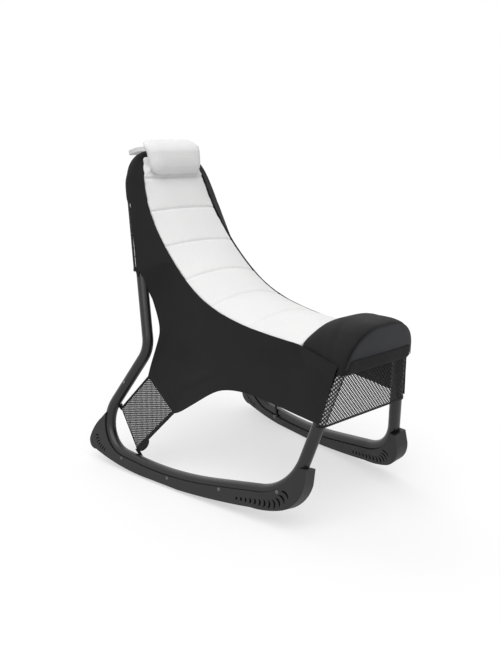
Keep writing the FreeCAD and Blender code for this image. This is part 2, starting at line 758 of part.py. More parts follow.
def dome(offset, forward, base_z, inset=0.0):
    """Closed outline round the hoop's arch, offset outside its centre line, at a depth."""
    frame = hoop_frame()
    inverse = frame.inverse()
    corners = loop_corners()
    top = inverse.multVec(on_side(1, *corners["thigh_top"]))
    foot = inverse.multVec(on_side(1, *front_joint()))
    lean = (foot.x - top.x) / (top.y - foot.y)
    grow = offset - inset
    high = grow
    turn = math.atan(lean)
    corner = top.x - high * lean + grow / math.cos(turn)
    low = (base_z - frame.Base.z) / frame.multVec(Vector(0, 1, 0)).sub(frame.Base).z
    base = corner + (high - low) * lean
    points = [Vector(-base, low, forward), Vector(-corner, high, forward),
              Vector(corner, high, forward), Vector(base, low, forward)]
    path = bent_path(points, [size("thigh_arch_radius") + grow] * 2)
    edges = list(path.Edges)
    edges.append(Part.makeLine(points[-1], points[0]))
    wire = Part.Wire(edges)
    wire.Placement = frame
    return wire


def rear_arc():
    """Closed section of the bolster where it meets the seat pad."""
    last = len(PAD_STATIONS) - 1
    normal = pad_normal(last)
    left = PAD_EDGE.value(last) + Vector(1, 0, 0).cross(normal) * size("seam_gap")
    rise = PAD_CROWN.value(last).z
    base = left - normal * size("pad_edge")

    def at(half_share, rise_share):
        return Vector(left.x * half_share, left.y, left.z) + normal * rise * rise_share

    knee = at(0.55, 0.75)
    shoulder = at(0.85, 0.45)
    edges = [Part.makeLine(mirrored(base, -1), mirrored(left, -1)),
             Part.Arc(mirrored(left, -1), mirrored(shoulder, -1), mirrored(knee, -1)).toShape(),
             Part.Arc(mirrored(knee, -1), at(0, 1), knee).toShape(),
             Part.Arc(knee, shoulder, left).toShape(),
             Part.makeLine(left, base), Part.makeLine(base, mirrored(base, -1))]
    return Part.Wire(edges)


def make_bolster():
    """Foam thigh bolster moulded round the front hoop's arch."""
    offset = size("tube_diameter") / 2 + size("bolster_wall")
    base = size("bolster_base_z")
    front = size("tube_diameter") / 2 + size("bolster_front")
    sections = [dome(offset, front, base, size("bolster_round")), dome(offset, front / 2, base),
                dome(offset, -front / 2, base), rear_arc()]
    block = Part.makeLoft(sections, True, True)
    corners = loop_corners()
    route = [on_side(1, *front_joint()), on_side(1, *corners["thigh_top"]),
             on_side(-1, *corners["thigh_top"]), on_side(-1, *front_joint())]
    arch = bent_path(route, [size("thigh_arch_radius")] * 2)
    tunnel = rod(arch, size("tube_diameter") + 2 * size("soft_gap"))
    feature("thigh_bolster", block.cut(tunnel))


def make_front_cap():
    """D-shaped end panel of the bolster, with the webbing strap along its foot."""
    offset = size("tube_diameter") / 2 + size("bolster_wall")
    front = size("tube_diameter") / 2 + size("bolster_front") + size("soft_gap")
    base = size("bolster_base_z")
    outline = Part.Face(dome(offset, front, base, size("bolster_round")))
    direction = hoop_frame().Rotation.multVec(Vector(0, 0, 1))
    cap = outline.extrude(direction * size("cap_thickness"))
    feature("front_cap", cap)
    frame = hoop_frame()
    low = (base - frame.Base.z) / frame.Rotation.multVec(Vector(0, 1, 0)).z
    half = outline.BoundBox.XMax + size("strap_thickness")
    strap = Part.makeBox(2 * half, size("strap_width"), size("strap_thickness"),
                         Vector(-half, low, front + size("cap_thickness") + size("soft_gap")))
    strap.Placement = frame.multiply(strap.Placement)
    feature("front_strap", strap)


def edge_clearance(point, outline):
    """Least distance of a point from the sides of a convex outline, negative outside it."""
    middle = sum(outline, Vector()) / len(outline)
    least = math.inf
    for first, second in zip(outline, outline[1:] + outline[:1]):
        run = (second - first).normalize()
        inward = Vector(-run.y, run.x, 0)
        if inward.dot(middle - first) < 0:
            inward = inward * -1
        least = min(least, inward.dot(point - first))
    return least


def holed_plate(outline, thickness, hole, pitch, margin):
    """Flat net: a plate in its own x-y plane with rows of diamond holes inside a margin."""
    face = Part.Face(Part.makePolygon(outline + outline[:1]))
    box = face.BoundBox
    holes = []
    row = 0
    y = box.YMin + pitch / 2
    while y < box.YMax:
        x = box.XMin + pitch * (0.5 + 0.5 * (row % 2))
        while x < box.XMax:
            centre = Vector(x, y, outline[0].z)
            if edge_clearance(centre, outline) > margin + hole / 2:
                ends = [centre + Vector(*shift) * hole / 2
                        for shift in ((-1, 0, 0), (0, -1, 0), (1, 0, 0), (0, 1, 0))]
                holes.append(Part.Face(Part.makePolygon(ends + ends[:1])))
            x += pitch
        y += pitch * size("mesh_row_share")
        row += 1
    return face.cut(Part.makeCompound(holes)).extrude(Vector(0, 0, thickness))


def make_front_mesh():
    """Mesh panel between the legs below the bolster."""
    frame = hoop_frame()
    inverse = frame.inverse()
    radius = size("tube_diameter") / 2
    leg_foot = inverse.multVec(on_side(1, *front_joint()))
    leg_top = inverse.multVec(on_side(1, *loop_corners()["thigh_top"]))
    climb = frame.Rotation.multVec(Vector(0, 1, 0)).z
    high = (size("bolster_base_z") - frame.Base.z) / climb - size("soft_gap")
    low = high - size("front_mesh_drop") / climb

    def edge(height):
        share = (height - leg_foot.y) / (leg_top.y - leg_foot.y)
        return leg_foot.x + (leg_top.x - leg_foot.x) * share + radius

    outline = [Vector(-edge(low), low, 0), Vector(edge(low), low, 0), Vector(edge(high), high, 0),
               Vector(-edge(high), high, 0)]
    net = holed_plate(outline, size("mesh_thickness"), size("mesh_hole"), size("mesh_pitch"),
                      size("mesh_margin"))
    net.translate(Vector(0, 0, radius + size("soft_gap")))
    net.Placement = frame.multiply(net.Placement)
    feature("front_mesh", net)


def make_back_mesh():
    """Mesh panel across the back of the uprights, from the arch down to the sleeve's hem."""
    corners = loop_corners()
    top = on_side(1, *corners["back_top"])
    knee = on_side(1, *corners["knee"])
    up = Vector(0, top.y - knee.y, top.z - knee.z).normalize()
    rear = up.cross(Vector(1, 0, 0))
    matrix = FreeCAD.Matrix(-1, up.x, rear.x, 0, 0, up.y, rear.y, top.y, 0, up.z, rear.z, top.z,
                            0, 0, 0, 1)
    frame = Placement(matrix)
    length = (top.z - size("back_mesh_foot_z")) / up.z
    spread = (knee.x - top.x) / (top - knee).dot(up)
    half_foot = top.x + spread * length
    drop = size("back_mesh_top_drop")
    half_top = top.x + spread * drop
    outline = [Vector(-half_foot, -length, 0), Vector(half_foot, -length, 0),
               Vector(half_top, -drop, 0), Vector(-half_top, -drop, 0)]
    pitch = size("mesh_pitch") * size("back_mesh_coarser")
    net = holed_plate(outline, size("mesh_thickness"), size("mesh_hole"), pitch,
                      size("mesh_margin"))
    stand_off = (size("tube_diameter") / 2 + size("sleeve_gap") + size("cover_thickness")
                 + size("soft_gap"))
    net.translate(Vector(0, 0, stand_off))
    net.Placement = frame.multiply(net.Placement)
    feature("back_mesh", net)


# Rear wings: mesh corners held to the frame by studs

def stud_seat(side, which):
    """Centre of a stud's foot on the tube and the stud's direction, towards the chair's middle."""
    distance = size(f"{which}_stud_distance")
    centre, along = walk(rail_path(side), distance)
    return centre, outward(side) * -1


def wing_corners(side):
    """Corners of the wing mesh: at the upper stud, seam top, seam foot, at the lower stud."""
    upper, inward = stud_seat(side, "upper")
    lower = stud_seat(side, "lower")[0]
    depth = inward * (size("tube_diameter") / 2 + size("stud_neck") / 2)
    tips = []
    for centre, (pull_y, pull_z) in ((upper, UPPER_PULL), (lower, LOWER_PULL)):
        pull = Vector(0, pull_y, pull_z)
        pull = (pull - inward * pull.dot(inward)).normalize()
        tips.append(centre + depth + pull * size("eyelet_reach"))
    seams = [mirrored(Vector(*point), side) for point in SEAM_ENDS]
    middle = (seams[0] + seams[1]) / 2
    normal = (tips[0] - middle).cross(tips[1] - middle).normalize()
    seams = [point - normal * (point - middle).dot(normal) for point in seams]
    return [tips[0], seams[0], seams[1], tips[1]]


def plane_frame(origin, ahead, normal):
    """Placement at a point with x along a direction and z along a normal."""
    forward = (ahead - normal * ahead.dot(normal)).normalize()
    across = normal.cross(forward)
    return Placement(FreeCAD.Matrix(forward.x, across.x, normal.x, origin.x,
                                    forward.y, across.y, normal.y, origin.y,
                                    forward.z, across.z, normal.z, origin.z,
                                    0, 0, 0, 1))


def make_wing(name, side):
    """Wing mesh between the cover's rear seam and the frame, with a tape along its foot."""
    corners = wing_corners(side)
    centre = (corners[0] + corners[1] + corners[2] + corners[3]) / 4
    normal = (corners[2] - corners[0]).cross(corners[3] - corners[1]).normalize()
    if normal.x * side < 0:
        normal = normal * -1
    frame = plane_frame(centre, corners[1] - corners[2], normal)
    inverse = frame.inverse()
    flat = [inverse.multVec(point) for point in corners]
    trim = size("soft_gap")
    gap = (flat[3] - flat[2]).normalize() * trim
    outline = [flat[0], flat[1] + gap, flat[2] + gap, flat[3]]
    net = holed_plate(outline, size("mesh_thickness"), size("mesh_hole"), size("mesh_pitch"),
                      size("mesh_margin"))
    net.Placement = frame
    feature(f"wing_mesh_{name}", net)
    foot = outline[2]
    tip = outline[3]
    across = (tip - foot).normalize()
    width = size("tape_width")
    rise = Vector(-across.y, across.x, 0)
    if rise.dot(outline[0] - foot) < 0:
        rise = rise * -1
    lift = Vector(0, 0, size("mesh_thickness") + trim)
    ribbon = [foot + lift, tip + lift, tip + rise * width + lift, foot + rise * width + lift]
    tape = Part.Face(Part.makePolygon(ribbon + ribbon[:1]))
    tape = tape.extrude(Vector(0, 0, size("strap_thickness")))
    tape.Placement = frame
    feature(f"wing_tape_{name}", tape)
    for which, tip_point in (("upper", corners[0]), ("lower", corners[3])):
        make_stud(name, side, which, tip_point)


def make_stud(name, side, which, tip):
    """Headed stud on the tube, and the webbing eyelet that hooks over it."""
    seat, inward = stud_seat(side, which)
    frame = plane_frame(seat, tip - seat, inward)
    tube = size("tube_diameter") / 2 + size("soft_gap")
    neck = size("stud_neck")
    shank = Part.makeCylinder(size("stud_diameter") / 2, neck, Vector(0, 0, tube))
    head = Part.makeCylinder(size("stud_head_diameter") / 2, size("stud_head_height"),
                             Vector(0, 0, tube + neck))
    stud = shank.fuse(head).removeSplitter()
    stud.Placement = frame
    feature(f"stud_{which}_{name}", stud)
    reach = size("eyelet_reach")
    half = size("eyelet_width") / 2
    edges = [Part.makeLine(Vector(reach, half, 0), Vector(0, half, 0)),
             Part.Arc(Vector(0, half, 0), Vector(-half, 0, 0), Vector(0, -half, 0)).toShape(),
             Part.makeLine(Vector(0, -half, 0), Vector(reach, -half, 0)),
             Part.makeLine(Vector(reach, -half, 0), Vector(reach, half, 0))]
    loop = Part.Face(Part.Wire(edges))
    eye = Part.Face(Part.Wire(Part.makeCircle(size("stud_diameter") / 2 + size("soft_gap"))))
    tab = loop.cut(eye).extrude(Vector(0, 0, size("strap_thickness")))
    tab.translate(Vector(0, 0, tube + neck / 2 - size("strap_thickness") / 2))
    tab.Placement = frame.multiply(tab.Placement)
    feature(f"eyelet_{which}_{name}", tab)


# Headrest

def headrest_frame():
    """Placement of the headrest: x across, y up along the back, z towards the sitter."""
    lean = math.radians(size("pillow_lean"))
    up = Vector(0, math.sin(lean), math.cos(lean))
    front = Vector(1, 0, 0).cross(up)
    matrix = FreeCAD.Matrix(1, up.x, front.x, 0, 0, up.y, front.y, size("pillow_y"),
                            0, up.z, front.z, size("pillow_z"), 0, 0, 0, 1)
    return Placement(matrix)


def flared_outline(width, flare, height, corner, depth):
    """Closed outline with round corners, wider at its top by the flare, at a depth."""
    top, foot = (width + flare) / 2, width / 2
    points = [Vector(0, -height / 2, depth), Vector(foot, -height / 2, depth),
              Vector(top, height / 2, depth), Vector(-top, height / 2, depth),
              Vector(-foot, -height / 2, depth), Vector(0, -height / 2, depth)]
    return bent_path(points, [corner] * 4)


def make_headrest():
    """Headrest pillow with drawn-in edges and its elastic loop round the back."""
    width, height, depth = size("pillow_width"), size("pillow_height"), size("pillow_depth")
    corner = size("pillow_corner")
    sections = []
    for share, inset in PILLOW_PROFILE:
        sections.append(flared_outline(width - 2 * inset, size("pillow_flare"),
                                       height - 2 * inset, corner - inset / 2, share * depth))
    pillow = Part.makeLoft(sections, True, True)
    pillow.Placement = headrest_frame()
    feature("headrest_pillow", pillow)
    half = size("elastic_half_width")
    back = -size("elastic_depth")
    thick = size("elastic_thickness")
    turn = size("elastic_turn")
    front_end = -size("soft_gap")
    route = [Vector(-half + turn, 0, front_end), Vector(-half, 0, front_end),
             Vector(-half, 0, back), Vector(half, 0, back), Vector(half, 0, front_end),
             Vector(half - turn, 0, front_end)]
    outer = bent_path(route, [turn / 2] * 4)
    band = outer.makeOffset2D(thick, fill=True, openResult=True)
    loop = band.extrude(Vector(0, size("elastic_width"), 0))
    loop.translate(Vector(0, size("elastic_rise"), 0))
    loop.Placement = headrest_frame().multiply(loop.Placement)
    feature("headrest_elastic", loop)


# Build and write

def check_and_write():
    """Check every object and shape, then write one STEP file for each sub-part."""
    doc.recompute()
    for item in doc.Objects:
        broken = {"Invalid", "Error"} & set(item.State)
        if broken:
            raise RuntimeError(f"{item.Label} is {broken}")
    for piece in PARTS:
        shape = piece.Shape
        if shape.isNull() or not shape.isValid():
            raise RuntimeError(f"{piece.Label} has no valid shape")
        shape.exportStep(f"parts/{piece.Label}.step")
        print(f"{piece.Label}: {len(shape.Solids)} solid, {shape.Volume / 1000:.1f} cm3")


make_back_hoop()
make_front_hoop()
for name, side in SIDES.items():
    make_rail_tube(name, side)
    make_button(name, side)
    make_button_clip(name, side)
    make_shoe(name, side)
    make_screws(name, side)
    make_side_panel(name, side)
    make_wing(name, side)
make_pad()
make_bolster()
make_front_cap()
make_front_mesh()
make_back_mesh()
make_headrest()
check_and_write()
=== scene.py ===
"""Gaming rocker chair dressed in its fabrics: cover, quilted pad, bolster, nets and headrest.

Metres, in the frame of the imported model: +Z up, the chair faces -Y, X = 0 is its middle plane.
"""
import math

import bmesh
import bpy
import numpy as np
from mathutils import Matrix, Vector, noise


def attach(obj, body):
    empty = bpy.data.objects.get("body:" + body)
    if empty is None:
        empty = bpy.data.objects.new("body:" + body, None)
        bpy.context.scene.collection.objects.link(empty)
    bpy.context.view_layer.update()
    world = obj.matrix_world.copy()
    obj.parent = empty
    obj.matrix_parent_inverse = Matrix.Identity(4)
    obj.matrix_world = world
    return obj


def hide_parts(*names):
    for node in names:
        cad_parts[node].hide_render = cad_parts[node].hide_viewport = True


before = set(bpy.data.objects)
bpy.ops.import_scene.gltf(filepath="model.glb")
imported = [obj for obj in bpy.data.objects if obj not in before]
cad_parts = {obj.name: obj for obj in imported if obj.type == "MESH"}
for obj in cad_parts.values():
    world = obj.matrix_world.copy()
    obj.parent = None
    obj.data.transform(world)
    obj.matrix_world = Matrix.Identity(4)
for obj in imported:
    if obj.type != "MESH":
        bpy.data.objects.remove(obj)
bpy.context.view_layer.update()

# Leaning plane of each side frame, and the side-view corners of the back hoop
HALF_GAUGE, TOE_SLOPE, LEAN_SLOPE = 0.2702, 0.1437, 0.2422
TUBE_RADIUS = 0.016
BACK_TOP, KNEE = (0.4279, 0.8835), (0.224, 0.3475)
ARCH_BEND = 0.085

# Pad edge of the left half from the head to the bolster: x, y, z, crown height
PAD_STATIONS = [(0.099, 0.383, 0.887, 0.001), (0.112, 0.372, 0.821, 0.004),
                (0.123, 0.331, 0.727, 0.010), (0.1275, 0.255, 0.632, 0.013),
                (0.130, 0.158, 0.547, 0.024), (0.1315, 0.044, 0.488, 0.026),
                (0.131, -0.110, 0.457, 0.026), (0.124, -0.287, 0.445, 0.028)]
SEAM_GAP = 0.001

# Cover sleeve round the back hoop
SLEEVE_RADIUS = TUBE_RADIUS + 0.001
ARCH_SHARES = (0.15, 0.3, 0.45, 0.6, 0.75, 0.9)
ARCH_INSET, ARCH_FRONT, ARCH_WRAP = 0.022, 0.027, 250
# Sleeve rows below the arch: place on the pad's edge, wrap in degrees, how far the hem drops
SLEEVE_ROWS = [(1, 250, 0), (1.4, 245, 0), (1.65, 235, 0), (1.8, 135, 0), (2, 120, 0),
               (2.5, 120, 0), (3, 122, 0), (3.12, 126, 0.004), (3.24, 130, 0.010),
               (3.34, 122, 0.018), (3.42, 100, 0.030)]
SLEEVE_SLACK, SLACK_TURN = 0.0064, math.radians(60)
# Share of the hem's drop that the wrapped part starts with
HEM_DROP_START = 0.45

# Free edge of the cover's left side: place on the pad's edge, then x, y, z
SIDE_EDGE = [(3.5, 0.176, 0.255, 0.482), (3.8, 0.184, 0.220, 0.432),
             (4.1, 0.190, 0.204, 0.404), (4.3, 0.195, 0.203, 0.388), (4.5, 0.203, 0.206, 0.360),
             (4.7, 0.217, 0.216, 0.306), (4.85, 0.2286, 0.2158, 0.2706),
             (5.2, 0.2324, 0.0892, 0.1924), (5.3, 0.231, 0.066, 0.200),
             (5.6, 0.2055, -0.012, 0.260), (5.8, 0.194, -0.0495, 0.283),
             (5.95, 0.188, -0.078, 0.292), (6.1, 0.180, -0.125, 0.298),
             (6.35, 0.174, -0.178, 0.295), (6.55, 0.171, -0.215, 0.292),
             (6.7, 0.170, -0.250, 0.289), (6.85, 0.169, -0.285, 0.286), (7, 0.168, -0.320, 0.282)]
FRONT_ROWS = [((0.1345, -0.345, 0.434), (0.1675, -0.353, 0.2795)),
              ((0.1340, -0.4145, 0.420), (0.1665, -0.391, 0.277))]
SIDE_SAG = 0.006
SIDE_STEPS, WRAP_STEPS = 12, 12
COVER_THICKNESS = 0.0018

# Tension folds of the left side: start, end, width and height
FOLDS = [((0.132, -0.300, 0.437), (0.160, -0.392, 0.372), 0.010, 0.0032),
         ((0.131, -0.262, 0.440), (0.162, -0.385, 0.345), 0.012, -0.0030),
         ((0.134, -0.235, 0.425), (0.165, -0.372, 0.318), 0.013, 0.0030),
         ((0.140, -0.180, 0.400), (0.166, -0.340, 0.296), 0.015, -0.0028),
         ((0.150, 0.215, 0.560), (0.150, 0.060, 0.470), 0.016, 0.0022),
         ((0.165, 0.225, 0.500), (0.160, 0.050, 0.430), 0.016, -0.0022),
         ((0.180, 0.205, 0.400), (0.175, 0.020, 0.370), 0.018, 0.0025),
         ((0.200, 0.190, 0.330), (0.190, 0.000, 0.330), 0.016, -0.0022),
         ((0.222, 0.150, 0.240), (0.180, -0.030, 0.330), 0.012, 0.0022),
         ((0.2213, 0.204, 0.2876), (0.2253, 0.0839, 0.2125), 0.0032, -0.0030)]
FOLD_STRENGTH = 1.6
# A fold's sine starts this far in and spans this much of a half turn
FOLD_START, FOLD_SPAN = 0.12, 0.76
UNEVEN_HEIGHT, UNEVEN_SCALE = 0.0008, 14
# Behind this place folds fade out upwards, from the height down over the fade
FADE_BEHIND, FADE_HEIGHT, FADE = 0.1, 0.47, 0.06

# Sewn seams of the pad, and the fine puckers beside them
PAD_SEAM_DEPTH, PAD_SEAM_WIDTH = 0.0042, 0.0034
PUCKER_HEIGHT, PUCKER_PITCH, PUCKER_WIDTH = 0.0005, 0.0042, 0.012

# Headrest pillow: middle of its back, upwards along the chair's back, and out of it
PILLOW_BASE, PILLOW_UP = (0, 0.380, 0.888), (0, 0.2079, 0.9781)
PILLOW_OUT = (0, -0.9781, 0.2079)
# Its two seams: depth, width and how far they draw in
PILLOW_SEAMS = [(0.0055, 0.0022, 0.0022), (0.026, 0.0024, 0.0016)]
# Its top bends back over the arch, and its lower half is longer
DRAPE_FROM, DRAPE_SPAN, DRAPE_BACK, PILLOW_HALF, PILLOW_LONGER = 0.004, 0.048, 0.032, 0.052, 0.009
# Elastic loop in the pillow's frame: half its length, depth, corner turn, width, height
LOOP_HALF, LOOP_DEPTH, LOOP_TURN, LOOP_WIDTH, LOOP_LOW = 0.117, -0.0690, 0.022, 0.012, 0.014
LOOP_END, LOOP_FRONT = 0.05, -0.0013

# Wing corners of the left side: at the upper stud, seam top, seam foot, at the lower stud
WING = [(0.2625, 0.3110, 0.1585), (0.2286, 0.2158, 0.2706), (0.2324, 0.0892, 0.1924),
        (0.2800, 0.2065, 0.0600)]
STUDS = {"upper": (0.2772, 0.3275, 0.1655), "lower": (0.2889, 0.1905, 0.0360)}
STUD_DIRECTION = (-0.9626, 0.1383, -0.2331)
TAB_LIFT, TAB_HALF, TAB_OVERLAP = 0.0035, 0.0065, 0.006
WING_LIFT, WING_TAPE = 0.0014, 0.0014
# Pull tab: its middle's place from the lower stud, half length and drop
PULL_BACK, PULL_HALF, PULL_DROP, PULL_STEPS = 0.030, 0.026, 0.015, 12

# Plane of the front hoop: origin at its top, up along the legs, out to the front
HOOP_ORIGIN = (0, -0.425, 0.4915)
HOOP_UP, HOOP_OUT = (0, -0.2145, 0.9767), (0, -0.9767, -0.2145)
# Its legs: half distance at the origin's height, and how much that grows for each metre down
LEG_TOP, LEG_LEAN = 0.0901, 0.2674
# Bolster's foot, 0.4085 m above the floor, as a height along the legs
BOLSTER_FOOT = (0.4085 - HOOP_ORIGIN[2]) / HOOP_UP[2]
# How far the bolster swells past the arch, its front edge's inset, and steps round its half
BOLSTER_SWELL, BOLSTER_INSET, BOLSTER_STEPS = 0.021, 0.005, 20
BOLSTER_CORNER, BOLSTER_ROWS, BOLSTER_EASE = 0.080, 13, 5
# Its section at the pad, from below the foot to the middle: shares of half width and rise
BOLSTER_PROFILE = [(1, -0.32), (1.0, 0), (0.93, 0.28), (0.78, 0.56), (0.55, 0.76), (0.28, 0.93),
                   (0, 1.0)]
# Its creases: forward place, slope across, height and width
BOLSTER_CREASES = [(0.33, 0.35, 0.0012, 0.012), (0.362, 0.2, -0.0012, 0.010)]
FLAT_TOP, FLAT_SHARE = 0.494, -0.15
# Rings of the cap: share of its outline and how far out
CAP_RINGS = [(1.0, 0.0), (1.0, 0.0022), (0.97, 0.0036), (0.9, 0.0040), (0.75, 0.0042),
             (0.5, 0.0043), (0.25, 0.0043)]
CAP_FORWARD, PIPING_RADIUS, PIPING_LIFT = 0.0213, 0.0011, 0.0014

# Bands and nets
STRAP_COLUMNS = 5
STRIP_ROWS, TAPE_COLUMNS = 4, 72
TAPE_THICKNESS, NET_THICKNESS = 0.0012, 0.0008
# Faces of a thickened net for each flat area of it, roughly
NET_FACES = 2.3

# Cloth simulation and finishes
CLOTH_FRAMES = 20
# Distance between a wave texture's bands at scale 1
BAND_LENGTH = 0.314
DYE_SCALE, FIBRE_SCALE, WORN_SCALE = 9.0, 260.0, 14.0

# Room, light and camera
FLOOR_SIZE, FLOOR_GREY, FLOOR_GLOW, SKY_LIGHT = 60, 0.45, 0.53, 0.62
CAMERA_PLACE, CAMERA_LENS = (-1.4505, -1.5404, 0.9344), 42.61
CAMERA_AZIMUTH, CAMERA_ELEVATION = math.radians(-42.692), math.radians(13.58)


def vec(*point):
    """Point as a numpy row."""
    return np.array(point[0] if len(point) == 1 else point, dtype=float)


def unit(vector):
    """Vector of length one in the same direction."""
    return vector / np.linalg.norm(vector)


def on_side(y, z):
    """Point of the left side frame's plane at a side-view place."""
    return vec(HALF_GAUGE + TOE_SLOPE * y - LEAN_SLOPE * z, y, z)


def spline(points):
    """Natural cubic curve through the points, as a function of the point number."""
    points = np.array(points, dtype=float)
    count = len(points)
    system = np.diag([1.0] + [4.0] * (count - 2) + [1.0])
    for row in range(1, count - 1):
        system[row, row - 1] = system[row, row + 1] = 1
    bends = np.zeros_like(points)
    bends[1:-1] = 6 * (points[2:] - 2 * points[1:-1] + points[:-2])
    bends = np.linalg.solve(system, bends)

    def at(place):
        first = int(min(max(math.floor(place), 0), count - 2))
        t = place - first
        s = 1 - t
        return (s * points[first] + t * points[first + 1]
                + ((s ** 3 - s) * bends[first] + (t ** 3 - t) * bends[first + 1]) / 6)

    return at


PAD_EDGE = spline([station[:3] for station in PAD_STATIONS])


# Tools for pieces

def select_only(piece):
    """Make a piece the only selected and the active one."""
    bpy.ops.object.select_all(action="DESELECT")
    piece.select_set(True)
    bpy.context.view_layer.objects.active = piece


def apply_modifier(piece, kind, **settings):
    """Add a modifier to a piece and apply it."""
    select_only(piece)
    modifier = piece.modifiers.new(kind.lower(), kind)
    for name, value in settings.items():
        setattr(modifier, name, value)
    bpy.ops.object.modifier_apply(modifier=modifier.name)


def smooth_shading(piece, degrees=None):
    """Shade a piece smooth, with edges sharper than the angle kept when one is given."""
    select_only(piece)
    if degrees is None:
        bpy.ops.object.shade_smooth()
    else:
        bpy.ops.object.shade_smooth_by_angle(angle=math.radians(degrees))


def linked(name, data):
    """New object of the scene."""
    piece = bpy.data.objects.new(name, data)
    bpy.context.scene.collection.objects.link(piece)
    return piece


def mesh_piece(name, points, faces, places=None):
    """Piece from points and faces; places are UV coordinates in metres, one for each point."""
    mesh = bpy.data.meshes.new(name)
    mesh.from_pydata([tuple(point) for point in points], [], faces)
    if places is not None:
        layer = mesh.uv_layers.new(name="cloth")
        for loop in mesh.loops:
            layer.data[loop.index].uv = places[loop.vertex_index]
    mesh.update()
    return linked(name, mesh)


def grid_faces(rows, columns, start=0):
    """Quads of a grid of points numbered row by row."""
    faces = []
    for row in range(rows - 1):
        for column in range(columns - 1):
            corner = start + row * columns + column
            faces.append((corner, corner + 1, corner + columns + 1, corner + columns))
    return faces


def merge_close(piece, distance=0.0003):
    """Join points of a piece that lie together and turn its faces outwards."""
    select_only(piece)
    bpy.ops.object.mode_set(mode="EDIT")
    bpy.ops.mesh.select_all(action="SELECT")
    bpy.ops.mesh.remove_doubles(threshold=distance)
    bpy.ops.mesh.normals_make_consistent(inside=False)
    bpy.ops.object.mode_set(mode="OBJECT")


def mirrored_copy(piece, name):
    """Copy of a left piece as the right one."""
    mesh = piece.data.copy()
    mesh.transform(Matrix.Scale(-1, 4, Vector((1, 0, 0))))
    mesh.flip_normals()
    return linked(name, mesh)


def surface_area(piece):
    """Area of a piece's faces."""
    return sum(face.area for face in piece.data.polygons)


def dress(piece, body, slot, material, *nodes):
    """Give a piece its material, the body it rides on and the nodes it stands for."""
    piece.data.materials.clear()
    piece.data.materials.append(material)
    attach(piece, body)
    if nodes:
        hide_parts(*nodes)


def move_points(piece, shift):
    """Move each point of a piece by what shift(position, normal) returns."""
    mesh = piece.data
    places = np.empty(len(mesh.vertices) * 3)
    mesh.vertices.foreach_get("co", places)
    normals = np.array([tuple(normal.vector) for normal in mesh.vertex_normals])
    places = places.reshape(-1, 3)
    mesh.vertices.foreach_set("co", (places + shift(places, normals)).ravel())
    mesh.update()


# Materials

def new_material(name):
    """Empty node material: its nodes, its links and its shader."""
    material = bpy.data.materials.new(name)
    material.use_nodes = True
    tree = material.node_tree
    shader = tree.nodes["Principled BSDF"]
    return material, tree, shader


def add_node(tree, kind, **settings):
    """Node with its settings; keys that name an input set that input's value."""
    node = tree.nodes.new(kind)
    for key, value in settings.items():
        if key in node.inputs:
            node.inputs[key].default_value = value
        else:
            setattr(node, key, value)
    return node


def noise_value(tree, source, scale, detail):
    """Noise factor on a vector output."""
    node = add_node(tree, "ShaderNodeTexNoise", Scale=scale, Detail=detail)
    tree.links.new(source, node.inputs["Vector"])
    return node.outputs["Fac"]


def ramp(tree, source, low, high, colors):
    """Colour between two colours as the source goes from low to high."""
    mix = add_node(tree, "ShaderNodeMix", data_type="RGBA")
    tree.links.new(ranged(tree, source, low, high, 0, 1), mix.inputs["Factor"])
    mix.inputs["A"].default_value = (*colors[0], 1)
    mix.inputs["B"].default_value = (*colors[1], 1)
    return mix.outputs["Result"]


def ranged(tree, source, low, high, start, end):
    """Value from start to end as the source goes from low to high."""
    node = add_node(tree, "ShaderNodeMapRange")
    for key, value in (("From Min", low), ("From Max", high), ("To Min", start), ("To Max", end)):
        node.inputs[key].default_value = value
    tree.links.new(source, node.inputs["Value"])
    return node.outputs["Result"]


def combine(tree, operation, first, second):
    """Maths of two outputs or numbers."""
    node = add_node(tree, "ShaderNodeMath", operation=operation)
    for socket, value in zip(node.inputs, (first, second)):
        if isinstance(value, (int, float)):
            socket.default_value = value
        else:
            tree.links.new(value, socket)
    return node.outputs[0]


def bump(tree, shader, height, distance, strength=1.0):
    """Bump the shader's normal by a height output."""
    node = add_node(tree, "ShaderNodeBump", Distance=distance, Strength=strength)
    tree.links.new(height, node.inputs["Height"])
    tree.links.new(node.outputs["Normal"], shader.inputs["Normal"])


def thread_height(tree, source, pitch):
    """Height of plain-woven threads on a vector output, from 0 to 1."""
    waves = []
    for direction in ("X", "Y"):
        wave = add_node(tree, "ShaderNodeTexWave", bands_direction=direction,
                        Scale=BAND_LENGTH / pitch, Distortion=0.4)
        wave.inputs["Detail Scale"].default_value = 1.0
        tree.links.new(source, wave.inputs["Vector"])
        waves.append(wave.outputs["Fac"])
    return combine(tree, "MULTIPLY", *waves)


def cloth_material(name, color, pale, pitch, roughness, depth, source="UV", sheen=0.03):
    """Woven cloth with threads, uneven dye and soft sheen."""
    material, tree, shader = new_material(name)
    place = add_node(tree, "ShaderNodeTexCoord")
    threads = thread_height(tree, place.outputs[source], pitch)
    mottle = noise_value(tree, place.outputs["Object"], DYE_SCALE, 4.0)
    fine = noise_value(tree, place.outputs["Object"], FIBRE_SCALE, 2.0)
    uneven = combine(tree, "MULTIPLY", combine(tree, "ADD", mottle, fine), 0.5)
    shade = combine(tree, "MULTIPLY_ADD", threads, 0.35)
    tree.links.new(uneven, shade.node.inputs[2])
    tree.links.new(ramp(tree, shade, 0.35, 0.85, (color, pale)), shader.inputs["Base Color"])
    tree.links.new(ranged(tree, mottle, 0.3, 0.7, roughness - 0.06, roughness + 0.06),
                   shader.inputs["Roughness"])
    shader.inputs["Sheen Weight"].default_value = sheen
    shader.inputs["Sheen Roughness"].default_value = 0.5
    shader.inputs["Specular IOR Level"].default_value = 0.2
    bump(tree, shader, threads, depth)
    return material


